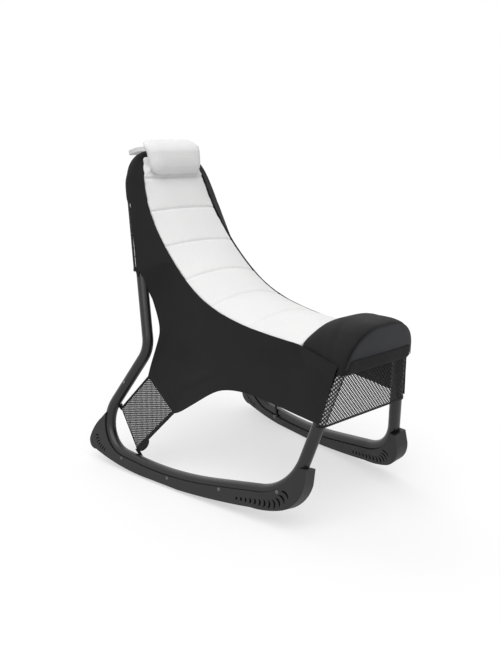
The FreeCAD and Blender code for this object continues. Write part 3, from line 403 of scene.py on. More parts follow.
def hard_material(name, color, worn, metallic, roughness, grain, depth):
    """Painted, moulded or bare hard surface with fine grain and worn patches."""
    material, tree, shader = new_material(name)
    place = add_node(tree, "ShaderNodeTexCoord").outputs["Object"]
    patches = noise_value(tree, place, WORN_SCALE, 5.0)
    grit = noise_value(tree, place, grain, 3.0)
    tree.links.new(ramp(tree, patches, 0.45, 0.75, (color, worn)), shader.inputs["Base Color"])
    tree.links.new(ranged(tree, patches, 0.3, 0.7, roughness - 0.05, roughness + 0.08),
                   shader.inputs["Roughness"])
    shader.inputs["Metallic"].default_value = metallic
    bump(tree, shader, grit, depth, 0.6)
    return material


BLACK, DARK = (0.0100, 0.0100, 0.0108), (0.0150, 0.0150, 0.0160)
WHITE, OFF_WHITE = (0.79, 0.79, 0.79), (0.87, 0.87, 0.865)
cover_weave = cloth_material("cover_weave", BLACK, DARK, 0.0011, 0.82, 0.00018)
bolster_weave = cloth_material("bolster_weave", (0.0105, 0.0105, 0.0115), (0.016, 0.016, 0.017),
                               0.0011, 0.8, 0.00018, "Object")
pad_knit = cloth_material("pad_knit", WHITE, OFF_WHITE, 0.0016, 0.9, 0.00022, "Object", 0.02)
pillow_knit = cloth_material("pillow_knit", (0.80, 0.80, 0.80), (0.88, 0.88, 0.875), 0.0018, 0.9,
                             0.00025, "Object", 0.05)
cap_weave = cloth_material("cap_weave", (0.015, 0.0155, 0.018), (0.020, 0.021, 0.025), 0.0008, 0.6,
                           0.0001, "Object", 0.08)
webbing = cloth_material("webbing", (0.006, 0.006, 0.0065), (0.010, 0.010, 0.011), 0.0014, 0.7,
                         0.0003, "Object")
net_thread = cloth_material("net_thread", (0.008, 0.008, 0.0085), (0.013, 0.013, 0.014), 0.0009,
                            0.7, 0.0001, "Object")
lining_cloth = cloth_material("lining_cloth", (0.80, 0.80, 0.80), (0.88, 0.88, 0.88), 0.0010, 0.8,
                              0.0002, "Object", 0.02)
elastic_weave = cloth_material("elastic_weave", (0.70, 0.70, 0.70), (0.80, 0.80, 0.80), 0.0012,
                               0.8, 0.00025, "Object", 0.05)
tube_paint = hard_material("tube_paint", (0.0060, 0.0060, 0.0065), (0.0085, 0.0085, 0.009), 0.0,
                           0.30, 900.0, 0.00004)
shoe_plastic = hard_material("shoe_plastic", (0.0065, 0.0065, 0.007), (0.010, 0.010, 0.0105), 0.0,
                             0.55, 1400.0, 0.00008)
plated_steel = hard_material("plated_steel", (0.16, 0.16, 0.165), (0.10, 0.10, 0.10), 1.0, 0.42,
                             700.0, 0.00003)
NODE_MATERIALS = {"back_hoop": tube_paint, "front_hoop": tube_paint, "rail_tube": tube_paint,
                  "rocker_shoe": shoe_plastic, "shoe_screw": plated_steel, "stud": plated_steel,
                  "snap_button": plated_steel, "button_clip": plated_steel}


def finish_nodes():
    """Give the CAD nodes that stay in view their finishes."""
    for name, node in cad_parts.items():
        for prefix, material in NODE_MATERIALS.items():
            if name.startswith(prefix):
                for slot in node.material_slots:
                    slot.material = material


# Cover: one sheet over the back hoop with a slung side to each rocker

def cover_edge(place):
    """Edge of the cover beside the pad, on the left."""
    return PAD_EDGE(place) + vec(SEAM_GAP, 0, 0)


def bend_sizes(start, corner, end, radius):
    """Directions from a corner to both ends, half its turn, and its arc's reach along each."""
    back, ahead = unit(start - corner), unit(end - corner)
    half_turn = (math.pi - math.acos(back @ ahead)) / 2
    return back, ahead, half_turn, radius * math.tan(half_turn)


def bend_at(start, corner, end, radius, distance):
    """Point and direction at a distance along two runs joined by an arc."""
    back, ahead, half_turn, reach = bend_sizes(start, corner, end, radius)
    run = np.linalg.norm(start - corner) - reach
    if distance <= run:
        return start - back * distance, -back
    centre = corner + unit(back + ahead) * radius / math.cos(half_turn)
    angle = (distance - run) / radius
    spoke = unit(corner + back * reach - centre)
    return (centre + (spoke * math.cos(angle) - back * math.sin(angle)) * radius,
            -back * math.cos(angle) - spoke * math.sin(angle))


def sleeve_section(centre, along, inner, wrap=ARCH_WRAP, drop=0.0, slack=0.0):
    """Flat and wrapped parts of the sleeve at one place on the hoop."""
    first = unit(inner - centre)
    second = unit(np.cross(along, first))
    if second[1] > 0:
        second = -second
    touch = math.acos(SLEEVE_RADIUS / np.linalg.norm(inner - centre))
    span = max(math.radians(wrap) - touch, 0.0)

    def at(angle):
        loose = slack * min(max((angle - touch) / SLACK_TURN, 0), 1) ** 2
        lower = drop * (HEM_DROP_START
                        + (1 - HEM_DROP_START) * (angle - touch) / max(span, 0.01))
        spoke = first * math.cos(angle) + second * math.sin(angle)
        return centre + spoke * (SLEEVE_RADIUS + loose) - along * lower

    flat = [inner + (at(touch) - inner) * step / SIDE_STEPS for step in range(SIDE_STEPS + 1)]
    wrapped = [at(touch + span * step / WRAP_STEPS) for step in range(WRAP_STEPS + 1)]
    return flat, wrapped


def sleeve_sections():
    """Sections of the left sleeve, from the middle of the arch down to the hem."""
    top, knee = on_side(*BACK_TOP), on_side(*KNEE)
    middle = vec(0, *BACK_TOP)
    front = unit(np.cross(knee - top, (1, 0, 0)))
    if front[1] > 0:
        front = -front
    half_turn, reach = bend_sizes(middle, top, knee, ARCH_BEND)[2:]
    run = np.linalg.norm(middle - top) - reach
    bend = 2 * half_turn * ARCH_BEND
    sections = []
    for distance in [0, run] + [run + bend * share for share in ARCH_SHARES]:
        centre, along = bend_at(middle, top, knee, ARCH_BEND, distance)
        inward = unit(np.cross(along, front))
        if inward[2] > 0:
            inward = -inward
        inner = centre + inward * ARCH_INSET + front * ARCH_FRONT
        sections.append(sleeve_section(centre, along, inner))
    up = unit(top - knee)
    for place, wrap, drop in SLEEVE_ROWS:
        inner = cover_edge(place)
        centre = knee + up * ((inner - knee) @ up)
        sections.append(sleeve_section(centre, up, inner, wrap, drop, SLEEVE_SLACK))
    return sections


def side_rows(first_row):
    """Rows of the slung side below the sleeve's hem; each sags inwards between its ends."""
    ends = [(cover_edge(place), vec(x, y, z)) for place, x, y, z in SIDE_EDGE]
    ends += [(vec(inner), vec(outer)) for inner, outer in FRONT_ROWS]
    rows = [first_row]
    for index, (inner, outer) in enumerate(ends):
        before = ends[max(index - 1, 0)]
        after = ends[min(index + 1, len(ends) - 1)]
        run = unit(after[0] + after[1] - before[0] - before[1])
        normal = unit(np.cross(outer - inner, run))
        normal = normal if normal[0] > 0 else -normal
        sag = SIDE_SAG * min(1, (len(ends) - 1 - index) / 3)
        shares = [step / SIDE_STEPS for step in range(SIDE_STEPS + 1)]
        rows.append([inner + (outer - inner) * share - normal * sag * math.sin(math.pi * share)
                     for share in shares])
    return rows


def fold_shift(places, normals):
    """Tension folds of the cover's sides, with a faint unevenness of the cloth."""
    shift = np.zeros(len(places))
    left = np.column_stack([np.abs(places[:, 0]), places[:, 1], places[:, 2]])
    for start, end, width, height in FOLDS:
        start, run = vec(start), vec(end) - vec(start)
        share = np.clip((left - start) @ run / (run @ run), 0, 1)
        gap = np.linalg.norm(left - start - share[:, None] * run, axis=1)
        along = np.sin(math.pi * (FOLD_START + FOLD_SPAN * share))
        shift += FOLD_STRENGTH * height * np.exp(-(gap / width) ** 2) * along
    shift += np.array([UNEVEN_HEIGHT * noise.noise(Vector(place) * UNEVEN_SCALE)
                       for place in places])
    faded = np.clip((FADE_HEIGHT - places[:, 2]) / FADE, 0, 1)
    return normals * (shift * np.where(places[:, 1] > FADE_BEHIND, faded, 1))[:, None]


def keep_corners(piece, corners):
    """Make the corners of both sides stay sharp when the piece is subdivided."""
    mesh = bmesh.new()
    mesh.from_mesh(piece.data)
    crease = mesh.verts.layers.float.new("crease_vert")
    for vertex in mesh.verts:
        place = Vector((abs(vertex.co.x), vertex.co.y, vertex.co.z))
        if any((place - Vector(corner)).length < 0.003 for corner in corners):
            vertex[crease] = 1.0
    mesh.to_mesh(piece.data)
    mesh.free()


def distances(row, start=0.0):
    """Distance along a row to each of its points."""
    reached = [start]
    for before, point in zip(row, row[1:]):
        reached.append(reached[-1] + np.linalg.norm(point - before))
    return reached


def make_cover():
    """Cover sheet: left half from its sections, right half mirrored, seam in the middle."""
    sections = sleeve_sections()
    flat_rows = [flat for flat, wrap in sections]
    wrap_rows = [wrap for flat, wrap in sections]
    slung_rows = side_rows(flat_rows[-1])
    middle = SIDE_STEPS // 2
    sleeve_drops = distances([row[middle] for row in flat_rows])
    slung_drops = distances([row[middle] for row in slung_rows], sleeve_drops[-1])
    parts = [(flat_rows, sleeve_drops, [0.0] * len(flat_rows)),
             (wrap_rows, sleeve_drops, [distances(row)[-1] for row in flat_rows]),
             (slung_rows, slung_drops, [0.0] * len(slung_rows))]
    points, places, faces = [], [], []
    for rows, drops, starts in parts:
        faces += grid_faces(len(rows), len(rows[0]), len(points))
        for row, drop, across in zip(rows, drops, starts):
            points += list(row)
            places += [(distance, drop) for distance in distances(row, across)]
    half = mesh_piece("cover_half", points, faces, places)
    merge_close(half)
    other = mirrored_copy(half, "cover_other_half")
    select_only(half)
    other.select_set(True)
    bpy.ops.object.join()
    half.name = half.data.name = "seat_cover"
    merge_close(half)
    keep_corners(half, WING[1:3] + [FRONT_ROWS[-1][0], FRONT_ROWS[-1][1], SIDE_EDGE[0][1:]])
    apply_modifier(half, "SUBSURF", levels=2, render_levels=2)
    move_points(half, fold_shift)
    apply_modifier(half, "SOLIDIFY", thickness=COVER_THICKNESS, offset=1.0)
    smooth_shading(half, 50)
    dress(half, "chair", "cover_weave", cover_weave, "side_panel_right", "side_panel_left")


# Padded pieces

def swollen_copy(node, name, voxel, pressure, cap, held):
    """Copy of a node's mesh, merged and swollen."""
    piece = linked(name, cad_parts[node].data.copy())
    merge_close(piece, 0.0001)
    swell(piece, voxel, 3, pressure, cap, held)
    return piece


def swell(piece, voxel, smoothing, pressure, cap, held):
    """Remesh a closed piece, blow it up a little by cloth simulation and refine it."""
    apply_modifier(piece, "REMESH", mode="VOXEL", voxel_size=voxel)
    apply_modifier(piece, "SMOOTH", factor=0.5, iterations=smoothing)
    inflate(piece, pressure, cap, held)
    apply_modifier(piece, "SUBSURF", levels=1, render_levels=1)


def inflate(piece, pressure, cap, held):
    """Swell a closed piece by cloth pressure; held tells which points stay, cap bounds the rest."""
    before = np.array([tuple(vertex.co) for vertex in piece.data.vertices])
    normals = np.array([tuple(normal.vector) for normal in piece.data.vertex_normals])
    fixed = np.nonzero(held(before, normals))[0]
    group = piece.vertex_groups.new(name="held")
    group.add([int(number) for number in fixed], 1.0, "REPLACE")
    select_only(piece)
    modifier = piece.modifiers.new("cloth", "CLOTH")
    settings = modifier.settings
    settings.use_pressure = True
    settings.uniform_pressure_force = pressure
    settings.vertex_group_mass = "held"
    settings.effector_weights.gravity = 0
    settings.quality = 4
    modifier.point_cache.frame_start = 1
    modifier.point_cache.frame_end = CLOTH_FRAMES
    for number in range(1, CLOTH_FRAMES + 1):
        bpy.context.scene.frame_set(number)
    graph = bpy.context.evaluated_depsgraph_get()
    swollen = piece.evaluated_get(graph)
    after = np.array([tuple(vertex.co) for vertex in swollen.data.vertices])
    piece.modifiers.remove(modifier)
    bpy.context.scene.frame_set(1)
    shift = after - before
    length = np.linalg.norm(shift, axis=1)
    shift *= np.minimum(1, cap / np.maximum(length, 1e-9))[:, None]
    piece.data.vertices.foreach_set("co", (before + shift).ravel())
    piece.vertex_groups.clear()
    piece.data.update()


def pad_tangent(place):
    """Direction of the pad's edge towards its foot, in the side view."""
    ahead = PAD_EDGE(place + 0.01) - PAD_EDGE(place - 0.01)
    return unit(vec(0, ahead[1], ahead[2]))


def pad_normal(place):
    """Direction square to the pad, towards the sitter."""
    tangent = pad_tangent(place)
    return vec(0, tangent[2], -tangent[1])


def seam_distance(places):
    """Signed distance of points to the nearest sewn seam of the pad, along the pad."""
    nearest = np.full(len(places), 1.0)
    for number in range(1, len(PAD_STATIONS) - 1):
        along = (places - PAD_EDGE(number)) @ pad_tangent(number)
        nearest = np.where(np.abs(along) < np.abs(nearest), along, nearest)
    return nearest


def make_pad():
    """Quilted pad: cushions swell between its sewn seams."""

    def held(places, normals):
        return (np.abs(seam_distance(places)) < 0.004) | (np.abs(places[:, 0]) > 0.118)

    pad = swollen_copy("seat_pad", "seat_quilt", 0.005, 3.0, 0.005, held)

    def sew(places, normals):
        along = seam_distance(places)
        toward = np.array([pad_normal(number) for number in range(len(PAD_STATIONS))])
        facing = (normals @ toward.T).max(axis=1)
        depth = PAD_SEAM_DEPTH * np.exp(-(along / PAD_SEAM_WIDTH) ** 2) * np.clip(facing, 0, 1)
        pucker = (PUCKER_HEIGHT * np.sin(places[:, 0] / PUCKER_PITCH)
                  * np.exp(-(along / PUCKER_WIDTH) ** 2))
        return -normals * (depth + pucker)[:, None]

    move_points(pad, sew)
    smooth_shading(pad)
    dress(pad, "chair", "pad_knit", pad_knit, "seat_pad")


def make_pillow():
    """Headrest pillow with two seams round it and its top bent back over the arch."""
    base, up, out = vec(PILLOW_BASE), vec(PILLOW_UP), vec(PILLOW_OUT)

    def held(places, normals):
        return (places - base) @ out < 0.004

    pillow = swollen_copy("headrest_pillow", "headrest_cushion", 0.004, 4.0, 0.006, held)

    def sew(places, normals):
        depth = (places - base) @ out
        seam = sum(drawn * np.exp(-((depth - middle) / width) ** 2)
                   for middle, width, drawn in PILLOW_SEAMS)
        side = np.clip(1 - np.abs(normals @ out), 0, 1)
        height = (places - base) @ up
        over = np.clip((height - DRAPE_FROM) / DRAPE_SPAN, 0, 1) ** 1.6
        longer = up * (PILLOW_LONGER * np.clip(height / PILLOW_HALF, -1, 0))[:, None]
        return -normals * (seam * side)[:, None] - out * (DRAPE_BACK * over)[:, None] + longer

    move_points(pillow, sew)
    smooth_shading(pillow)
    dress(pillow, "headrest", "pillow_knit", pillow_knit, "headrest_pillow")


def both_sides(side):
    """Points of a left half from its outer end, and of its mirror image."""
    return side + [vec(-p[0], *p[1:]) for p in side[-2::-1]]


def dome_loop(forward, inset=0.0):
    """Outline round the front hoop's arch, in the hoop's plane, from foot to foot."""
    grow = BOLSTER_SWELL - inset
    corner_x = LEG_TOP - grow * LEG_LEAN + grow / math.cos(math.atan(LEG_LEAN))
    base_x = corner_x + (grow - BOLSTER_FOOT) * LEG_LEAN
    start, corner, end = vec(base_x, BOLSTER_FOOT, 0), vec(corner_x, grow, 0), vec(0, grow, 0)
    radius = BOLSTER_CORNER + grow
    length = np.linalg.norm(corner - start) + np.linalg.norm(end - corner)
    ahead, half_turn, reach = bend_sizes(start, corner, end, radius)[1:]
    total = length - 2 * reach + 2 * half_turn * radius
    first_run = np.linalg.norm(corner - start) - reach
    side = []
    for step in range(BOLSTER_STEPS + 1):
        distance = total * step / BOLSTER_STEPS
        if distance <= first_run + 2 * half_turn * radius:
            flat = bend_at(start, corner, end, radius, distance)[0]
        else:
            flat = end - ahead * (total - distance)
        side.append(flat)
    origin, up, out = vec(HOOP_ORIGIN), vec(HOOP_UP), vec(HOOP_OUT)
    return [vec(p[0], 0, 0) + origin + up * p[1] + out * forward for p in both_sides(side)]


def rear_loop():
    """Outline of the bolster where it meets the pad, from foot to foot."""
    foot, rise = len(PAD_STATIONS) - 1, PAD_STATIONS[-1][3]
    near_foot = foot - 0.02
    normal = pad_normal(near_foot)
    edge = PAD_EDGE(foot) + pad_tangent(near_foot) * SEAM_GAP
    profile = spline(BOLSTER_PROFILE)
    side = []
    for step in range(BOLSTER_STEPS + 1):
        half_share, rise_share = profile((len(BOLSTER_PROFILE) - 1) * step / BOLSTER_STEPS)
        side.append(vec(edge[0] * half_share, edge[1], edge[2]) + normal * rise * rise_share)
    return both_sides(side)


def make_bolster():
    """Thigh bolster: a padded dome from the pad to the D-shaped cap."""
    rear, first = rear_loop(), dome_loop(-BOLSTER_SWELL / 2)
    rows = [rear]
    for step in range(1, BOLSTER_ROWS):
        share = step / BOLSTER_ROWS
        ease = 1 - (1 - share) ** BOLSTER_EASE
        rows.append([a + (b - a) * vec(share, share, ease) for a, b in zip(rear, first)])
    rows += [first, dome_loop(BOLSTER_SWELL / 2), dome_loop(BOLSTER_SWELL, BOLSTER_INSET)]
    columns = len(rows[0])
    points = [point for row in rows for point in row]
    faces = grid_faces(len(rows), columns)
    last = (len(rows) - 1) * columns
    faces.append(tuple(range(columns)))
    faces.append(tuple(last + number for number in reversed(range(columns))))
    faces.append(tuple(row * columns for row in reversed(range(len(rows))))
                 + tuple(row * columns + columns - 1 for row in range(len(rows))))
    bolster = mesh_piece("thigh_cushion", points, faces)
    merge_close(bolster)

    def held(places, normals):
        return (places[:, 1] > -0.295) | (normals[:, 2] < -0.3) | (normals[:, 1] < -0.7)

    swell(bolster, 0.005, 4, 3.0, 0.004, held)

    def creases(places, normals):
        across = np.abs(places[:, 0])
        height = sum(high * np.exp(-((places[:, 1] + forward + across * slope) / width) ** 2)
                     for forward, slope, high, width in BOLSTER_CREASES)
        flatter = np.zeros_like(places)
        flatter[:, 2] = FLAT_SHARE * np.clip(places[:, 2] - FLAT_TOP, 0, None)
        return normals * (height * np.clip(across / 0.1, 0, 1))[:, None] + flatter

    move_points(bolster, creases)
    smooth_shading(bolster)
    dress(bolster, "chair", "bolster_cloth", bolster_weave, "thigh_bolster")


def make_cap():
    """D-shaped end panel: outline filled, inset in steps and domed forwards, with a piped seam."""
    outline = dome_loop(CAP_FORWARD, BOLSTER_INSET)
    count = len(outline)
    out = vec(HOOP_OUT)
    centre = (np.max(outline, axis=0) + np.min(outline, axis=0)) / 2
    centre[0] = 0
    points = [centre + (p - centre) * share + out * depth for share, depth in CAP_RINGS
              for p in outline]
    faces = []
    for ring in range(len(CAP_RINGS) - 1):
        for number in range(count):
            after = (number + 1) % count
            faces.append((ring * count + number, ring * count + after,
                          (ring + 1) * count + after, (ring + 1) * count + number))
    faces.append(tuple(reversed(range(count))))
    faces.append(tuple((len(CAP_RINGS) - 1) * count + number for number in range(count)))
    cap = mesh_piece("cap_panel", points, faces)
    merge_close(cap)
    apply_modifier(cap, "SUBSURF", levels=1, render_levels=1)
    smooth_shading(cap, 40)
    dress(cap, "chair", "cap_cloth", cap_weave, "front_cap")
    make_piping(outline, out)


def make_piping(outline, out):
    """Round piping along the cap's seam."""
    curve = bpy.data.curves.new("cap_piping", "CURVE")
    curve.dimensions = "3D"
    curve.bevel_depth = PIPING_RADIUS
    curve.bevel_resolution = 2
    run = curve.splines.new("NURBS")
    run.points.add(len(outline) - 1)
    for place, point in zip(run.points, outline):
        place.co = (*(point + out * PIPING_LIFT), 1)
    run.use_endpoint_u = True
    run.order_u = 3
    select_only(linked("cap_piping", curve))
    bpy.ops.object.convert(target="MESH")
    piping = bpy.context.view_layer.objects.active
    smooth_shading(piping)
    dress(piping, "chair", "webbing", webbing)


# Flat bands

def thicken(piece, thickness, bevel=0.0):
    """Thicken a flat piece, round its edges where a bevel is given, and shade it."""
    apply_modifier(piece, "SOLIDIFY", thickness=thickness, offset=0.0)
    if bevel:
        apply_modifier(piece, "BEVEL", width=bevel, segments=2)
    smooth_shading(piece, 40)


def band(name, corners, thickness, steps):
    """Flat strip between four corners."""
    first, second, third, fourth = (vec(corner) for corner in corners)
    points, places = [], []
    for row in range(steps + 1):
        share = row / steps
        left, right = first + (second - first) * share, fourth + (third - fourth) * share
        for column in range(STRAP_COLUMNS):
            point = left + (right - left) * column / (STRAP_COLUMNS - 1)
            points.append(point)
            places.append((np.linalg.norm(point - left), share * np.linalg.norm(second - first)))
    strip = mesh_piece(name, points, grid_faces(steps + 1, STRAP_COLUMNS), places)
    thicken(strip, thickness, thickness * 0.3)
    return strip


# Nets

FRONT_HOOP = (HOOP_ORIGIN, HOOP_UP, HOOP_OUT, LEG_TOP, LEG_LEAN)
BACK_UP = unit(vec(0, BACK_TOP[0] - KNEE[0], BACK_TOP[1] - KNEE[1]))
BACK_HOOP = ((0, *BACK_TOP), BACK_UP, (0, BACK_UP[2], -BACK_UP[1]), on_side(*BACK_TOP)[0],
             (on_side(*KNEE)[0] - on_side(*BACK_TOP)[0]) / math.dist(KNEE, BACK_TOP))


def wrap_point(hoop, across, height, radius, proud=0.0):
    """Point of a cloth that spans a hoop's two tubes and turns round them at a radius."""
    origin, up, out, top, spread = hoop
    tube = top - spread * height
    turn = max(abs(across) - tube, 0) / radius
    x = math.copysign(min(abs(across), tube) + radius * math.sin(turn), across)
    depth = (radius + proud) * math.cos(turn)
    return vec(origin) + vec(x, 0, 0) + vec(up) * height + vec(out) * depth


def hoop_outline(hoop, foot, top, reach):
    """Flat corners of a cloth between two heights that reaches round both tubes."""
    low, high = (hoop[3] - hoop[4] * height + reach for height in (foot, top))
    return [(-low, foot), (low, foot), (high, top), (-high, top)]


def hoop_strip(name, hoop, heights, columns, across_at, radius, proud=0.0):
    """Strip on a hoop; across_at(tube, share) gives the places of its columns in a row."""
    foot, top = heights
    points, places = [], []
    for row in range(STRIP_ROWS + 1):
        height = foot + (top - foot) * row / STRIP_ROWS
        for column in range(columns + 1):
            across = across_at(hoop[3] - hoop[4] * height, column / columns)
            points.append(wrap_point(hoop, across, height, radius, proud * min(row, 1)))
            places.append((across, height))
    return mesh_piece(name, points, grid_faces(STRIP_ROWS + 1, columns + 1), places)


def wrapped_band(name, hoop, foot, top, reach, radius, proud=0.0):
    """Tape round a hoop's tubes between two heights; it stands proud above its lower edge."""
    tape = hoop_strip(name, hoop, (foot, top), TAPE_COLUMNS,
                      lambda tube, share: (tube + reach) * (2 * share - 1), radius, proud)
    thicken(tape, TAPE_THICKNESS, 0.0003)
    return tape


def net(name, outline, pitch, thread, place):
    """Net in a flat outline: a grid turned to diamonds, trimmed, its cells opened, then placed."""
    reach = max(max(abs(x), abs(y)) for x, y in outline) * 1.5
    middle = vec(*np.mean(outline, axis=0), 0)
    cells = int(2 * reach / pitch)
    bpy.ops.object.select_all(action="DESELECT")
    bpy.ops.mesh.primitive_grid_add(x_subdivisions=cells, y_subdivisions=cells, size=2 * reach,
                                    location=middle, rotation=(0, 0, math.radians(45)))
    piece = bpy.context.view_layer.objects.active
    piece.name = piece.data.name = name
    bpy.ops.object.transform_apply(location=True, rotation=True, scale=True)
    bpy.ops.object.mode_set(mode="EDIT")
    for start, end in zip(outline, outline[1:] + outline[:1]):
        bpy.ops.mesh.select_all(action="SELECT")
        outward = unit(vec(end[1] - start[1], start[0] - end[0], 0))
        if outward @ (vec(*start, 0) - middle) < 0:
            outward = -outward
        bpy.ops.mesh.bisect(plane_co=(*start, 0), plane_no=tuple(outward), clear_outer=True)
    bpy.ops.mesh.select_all(action="SELECT")
    bpy.ops.mesh.inset(thickness=thread / 2, use_individual=True, use_boundary=True)
    bpy.ops.mesh.delete(type="FACE")
    bpy.ops.object.mode_set(mode="OBJECT")
    for vertex in piece.data.vertices:
        vertex.co = place(vertex.co.x, vertex.co.y)
    apply_modifier(piece, "SOLIDIFY", thickness=NET_THICKNESS, offset=0.0)
    return piece


def stretch_net(piece, node):
    dress(piece, "chair", "net", net_thread, node)
    round(surface_area(piece) / NET_FACES, 4)


def hoop_net(name, hoop, outline, radius, pitch, thread):
    """Net in an outline on a hoop, at a radius round its tubes."""
    return net(name, outline, pitch, thread,
               lambda across, height: wrap_point(hoop, across, height, radius))


def make_front():
    """Net between the legs and round them, with its hem and the strap over the cap's foot."""
    foot, top, reach, radius = -0.2255, -0.0925, 0.0235, 0.0182
    panel = hoop_net("front_net", FRONT_HOOP, hoop_outline(FRONT_HOOP, foot, top, reach), radius,
                     0.0068, 0.0025)
    stretch_net(panel, "front_mesh")
    hem = wrapped_band("front_hem", FRONT_HOOP, foot - 0.001, foot + 0.005, reach, radius + 0.0008)
    dress(hem, "chair", "webbing", webbing)
    strap = wrapped_band("front_webbing", FRONT_HOOP, top - 0.001, BOLSTER_FOOT + 0.029, 0.028,
                         0.0222, 0.0052)
    dress(strap, "chair", "webbing", cover_weave, "front_strap")
    make_lining("front_lining", FRONT_HOOP, foot + 0.004, top - 0.002, reach - 0.002,
                TUBE_RADIUS + 0.0006)


def make_lining(name, hoop, foot, top, reach, radius):
    """Pale lining under a net where it turns round the hoop's tubes, one strip for each side."""
    left = hoop_strip(f"{name}_left", hoop, (foot, top), WRAP_STEPS,
                      lambda tube, share: tube + reach * share, radius)
    thicken(left, 0.0006)
    for strip in (left, mirrored_copy(left, f"{name}_right")):
        strip.data.name = strip.name
        dress(strip, "chair", "elastic", lining_cloth)


def make_back_net():
    """Net across the back and round the uprights, bound at its foot and head."""
    foot, shoulder, top, reach, radius = -0.3400, -0.0900, -0.0420, 0.0385, 0.0224
    outline = (hoop_outline(BACK_HOOP, foot, shoulder, reach)[:3]
               + hoop_outline(BACK_HOOP, shoulder, top, 0)[2:]
               + hoop_outline(BACK_HOOP, foot, shoulder, reach)[3:])
    panel = hoop_net("back_net", BACK_HOOP, outline, radius, 0.0070, 0.0032)
    stretch_net(panel, "back_mesh")
    for name, low, high, side in (("back_hem", foot - 0.001, foot + 0.007, reach),
                                  ("back_head_tape", top - 0.012, top, 0.0)):
        tape = wrapped_band(name, BACK_HOOP, low, high, side, radius + 0.0009)
        dress(tape, "chair", "webbing", webbing)
    make_lining("back_lining", BACK_HOOP, foot + 0.008, -0.135, reach - 0.001, radius - 0.0012)


def make_wings():
    """Wing nets at the rear corners with their bound edges, tabs and pull tabs."""
    tip, seam_top, seam_foot, low_tip = (vec(corner) for corner in WING)
    centre = (tip + seam_top + seam_foot + low_tip) / 4
    normal = unit(np.cross(tip - seam_foot, seam_top - low_tip))
    normal = normal if normal[0] > 0 else -normal
    across = unit(seam_top - seam_foot)
    rise = unit(np.cross(normal, across))
    across = np.cross(rise, normal)

    def place(u, v):
        return centre + across * u + rise * v

    outline = [((corner - centre) @ across, (corner - centre) @ rise)
               for corner in (seam_foot, low_tip, tip, seam_top)]
    pieces = [("wing_net", net("wing_net_left", outline, 0.0052, 0.0027, place), ())]
    lift = normal * WING_LIFT
    for name, start, end, inside, wide, nodes in (
            ("wing_foot_tape", seam_foot, low_tip, tip, 0.011, ("wing_tape",)),
            ("wing_head_tape", seam_top, tip, low_tip, 0.007, ()),
            ("wing_rear_tape", tip, low_tip, seam_foot, 0.0022, ())):
        along = unit(end - start)
        into = unit((inside - start) - along * ((inside - start) @ along)) * wide
        strip = band(name, [start + lift, end + lift, end + into + lift, start + into + lift],
                     WING_TAPE, 16)
        pieces.append((name, strip, nodes))
    inward = vec(STUD_DIRECTION)
    for which, corner in (("upper", tip), ("lower", low_tip)):
        seat = vec(STUDS[which]) + inward * (TUBE_RADIUS + TAB_LIFT)
        along = unit(corner - seat)
        side = unit(np.cross(inward, along)) * TAB_HALF
        end = corner + along * TAB_OVERLAP
        tab = band(f"wing_tab_{which}", [seat - side * 0.8 - along * 0.004,
                                         end - side, end + side,
                                         seat + side * 0.8 - along * 0.004], 0.0016, 8)
        pieces.append((f"wing_tab_{which}", tab, (f"eyelet_{which}",)))
    pieces.append(("wing_pull", make_pull(seam_foot, low_tip, normal), ()))
    for name, left, nodes in pieces:
        right = mirrored_copy(left, f"{name}_right")
        left.name = left.data.name = f"{name}_left"
        right.data.name = right.name
        for side, piece in (("left", left), ("right", right)):
            if name == "wing_net":
                stretch_net(piece, f"wing_mesh_{side}")
            else:
                dress(piece, "chair", "webbing", webbing, *[f"{node}_{side}" for node in nodes])


def make_pull(foot, tip, normal):
    """Rounded pull tab below the wing's lower edge."""
    along = unit(tip - foot)
    down = np.cross(along, normal)
    down = down if down[2] < 0 else -down
    length = np.linalg.norm(tip - foot)
    middle = foot + along * (length - PULL_BACK)
    rim = []
    for step in range(PULL_STEPS + 1):
        angle = math.pi * step / PULL_STEPS
        rim.append(middle + along * PULL_HALF * math.cos(angle)
                   + down * PULL_DROP * math.sin(angle))
    points = rim + [middle]
    faces = [(number, number + 1, PULL_STEPS + 1) for number in range(PULL_STEPS)]
    tab = mesh_piece("wing_pull", [point + normal * 0.0006 for point in points], faces)
    merge_close(tab)
    thicken(tab, 0.002, 0.0006)
    return tab


def make_elastic_loop():
    """Elastic loop from the pillow's back round behind the head of the chair."""
    base, up, out = vec(PILLOW_BASE), vec(PILLOW_UP), vec(PILLOW_OUT)
    corners = [(LOOP_HALF - LOOP_END, LOOP_FRONT), (LOOP_HALF, LOOP_FRONT),
               (LOOP_HALF, LOOP_DEPTH), (0, LOOP_DEPTH)]
    route = []
    for number, (x, y) in enumerate(corners):
        if number in (0, len(corners) - 1):
            route.append(vec(x, y))
            continue
        before, after = vec(corners[number - 1]), vec(corners[number + 1])
        here = vec(x, y)
        for share in (0.0, 0.25, 0.5, 0.75, 1.0):
            start = here + unit(before - here) * LOOP_TURN
            end = here + unit(after - here) * LOOP_TURN
            route.append((1 - share) ** 2 * start + 2 * share * (1 - share) * here
                         + share ** 2 * end)
    line = both_sides(route)
    points, places = [], []
    for p, travelled in zip(line, distances(line)):
        for step in range(STRAP_COLUMNS):
            height = LOOP_LOW + LOOP_WIDTH * step / (STRAP_COLUMNS - 1)
            points.append(base + vec(p[0], 0, 0) + out * p[1] + up * height)
            places.append((height, travelled))
    strap = mesh_piece("headrest_strap", points, grid_faces(len(line), STRAP_COLUMNS), places)
    thicken(strap, 0.0014)
    dress(strap, "headrest", "elastic", elastic_weave, "headrest_elastic")


# Room, light and camera

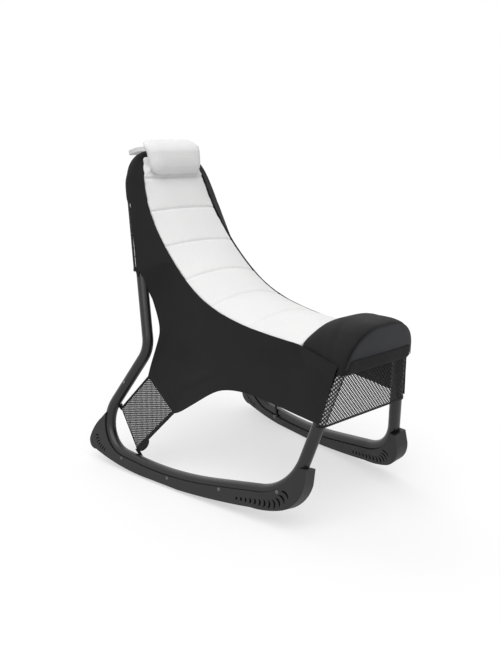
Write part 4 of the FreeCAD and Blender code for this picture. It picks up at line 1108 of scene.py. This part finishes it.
def seen_rays(tree):
    """One for camera, glossy and transmission rays, else nought."""
    path = add_node(tree, "ShaderNodeLightPath")
    seen = combine(tree, "MAXIMUM", path.outputs["Is Camera Ray"], path.outputs["Is Glossy Ray"])
    return combine(tree, "MAXIMUM", seen, path.outputs["Is Transmission Ray"])


def make_room():
    """White floor and world that keep the chair's shadow."""
    bpy.ops.object.select_all(action="DESELECT")
    bpy.ops.mesh.primitive_plane_add(size=FLOOR_SIZE)
    floor = bpy.context.view_layer.objects.active
    floor.name = "studio_floor"
    material, tree, shader = new_material("floor_white")
    shader.inputs["Base Color"].default_value = (FLOOR_GREY, FLOOR_GREY, FLOOR_GREY, 1)
    shader.inputs["Roughness"].default_value = 0.9
    shader.inputs["Specular IOR Level"].default_value = 0.0
    shader.inputs["Emission Color"].default_value = (1, 1, 1, 1)
    tree.links.new(combine(tree, "MULTIPLY", seen_rays(tree), FLOOR_GLOW),
                   shader.inputs["Emission Strength"])
    floor.data.materials.append(material)
    world = bpy.data.worlds.new("studio_world")
    bpy.context.scene.world = world
    world.use_nodes = True
    tree = world.node_tree
    background = tree.nodes["Background"]
    background.inputs["Color"].default_value = (1, 1, 1, 1)
    tree.links.new(ranged(tree, seen_rays(tree), 0, 1, SKY_LIGHT, 1.0),
                   background.inputs["Strength"])


def add_sun(name, direction, strength, spread):
    """Wide soft sun shining along a direction."""
    lamp = bpy.data.lights.new(name, "SUN")
    lamp.energy = strength
    lamp.angle = math.radians(spread)
    linked(name, lamp).rotation_euler = Vector(direction).to_track_quat("-Z", "Y").to_euler()


def make_camera():
    """Camera at the photograph's place and angle."""
    level = math.cos(CAMERA_ELEVATION)
    back = Vector((math.sin(CAMERA_AZIMUTH) * level, -math.cos(CAMERA_AZIMUTH) * level,
                   math.sin(CAMERA_ELEVATION)))
    right = Vector((math.cos(CAMERA_AZIMUTH), math.sin(CAMERA_AZIMUTH), 0))
    up = back.cross(right)
    lens = bpy.data.cameras.new("photo_camera")
    lens.lens = CAMERA_LENS
    lens.sensor_width = 36
    camera = linked("photo_camera", lens)
    turn = Matrix((right, up, back)).transposed().to_4x4()
    camera.matrix_world = Matrix.Translation(CAMERA_PLACE) @ turn
    bpy.context.scene.camera = camera


make_camera()
finish_nodes()
make_cover()
make_pad()
make_bolster()
make_cap()
make_pillow()
make_elastic_loop()
make_front()
make_back_net()
make_wings()
make_room()
add_sun("key_sun", (0.55, 0.35, -1.0), 1.5, 60)
add_sun("rim_sun", (-0.2, -0.9, -0.8), 0.5, 50)
bpy.context.scene.view_settings.view_transform = "Standard"
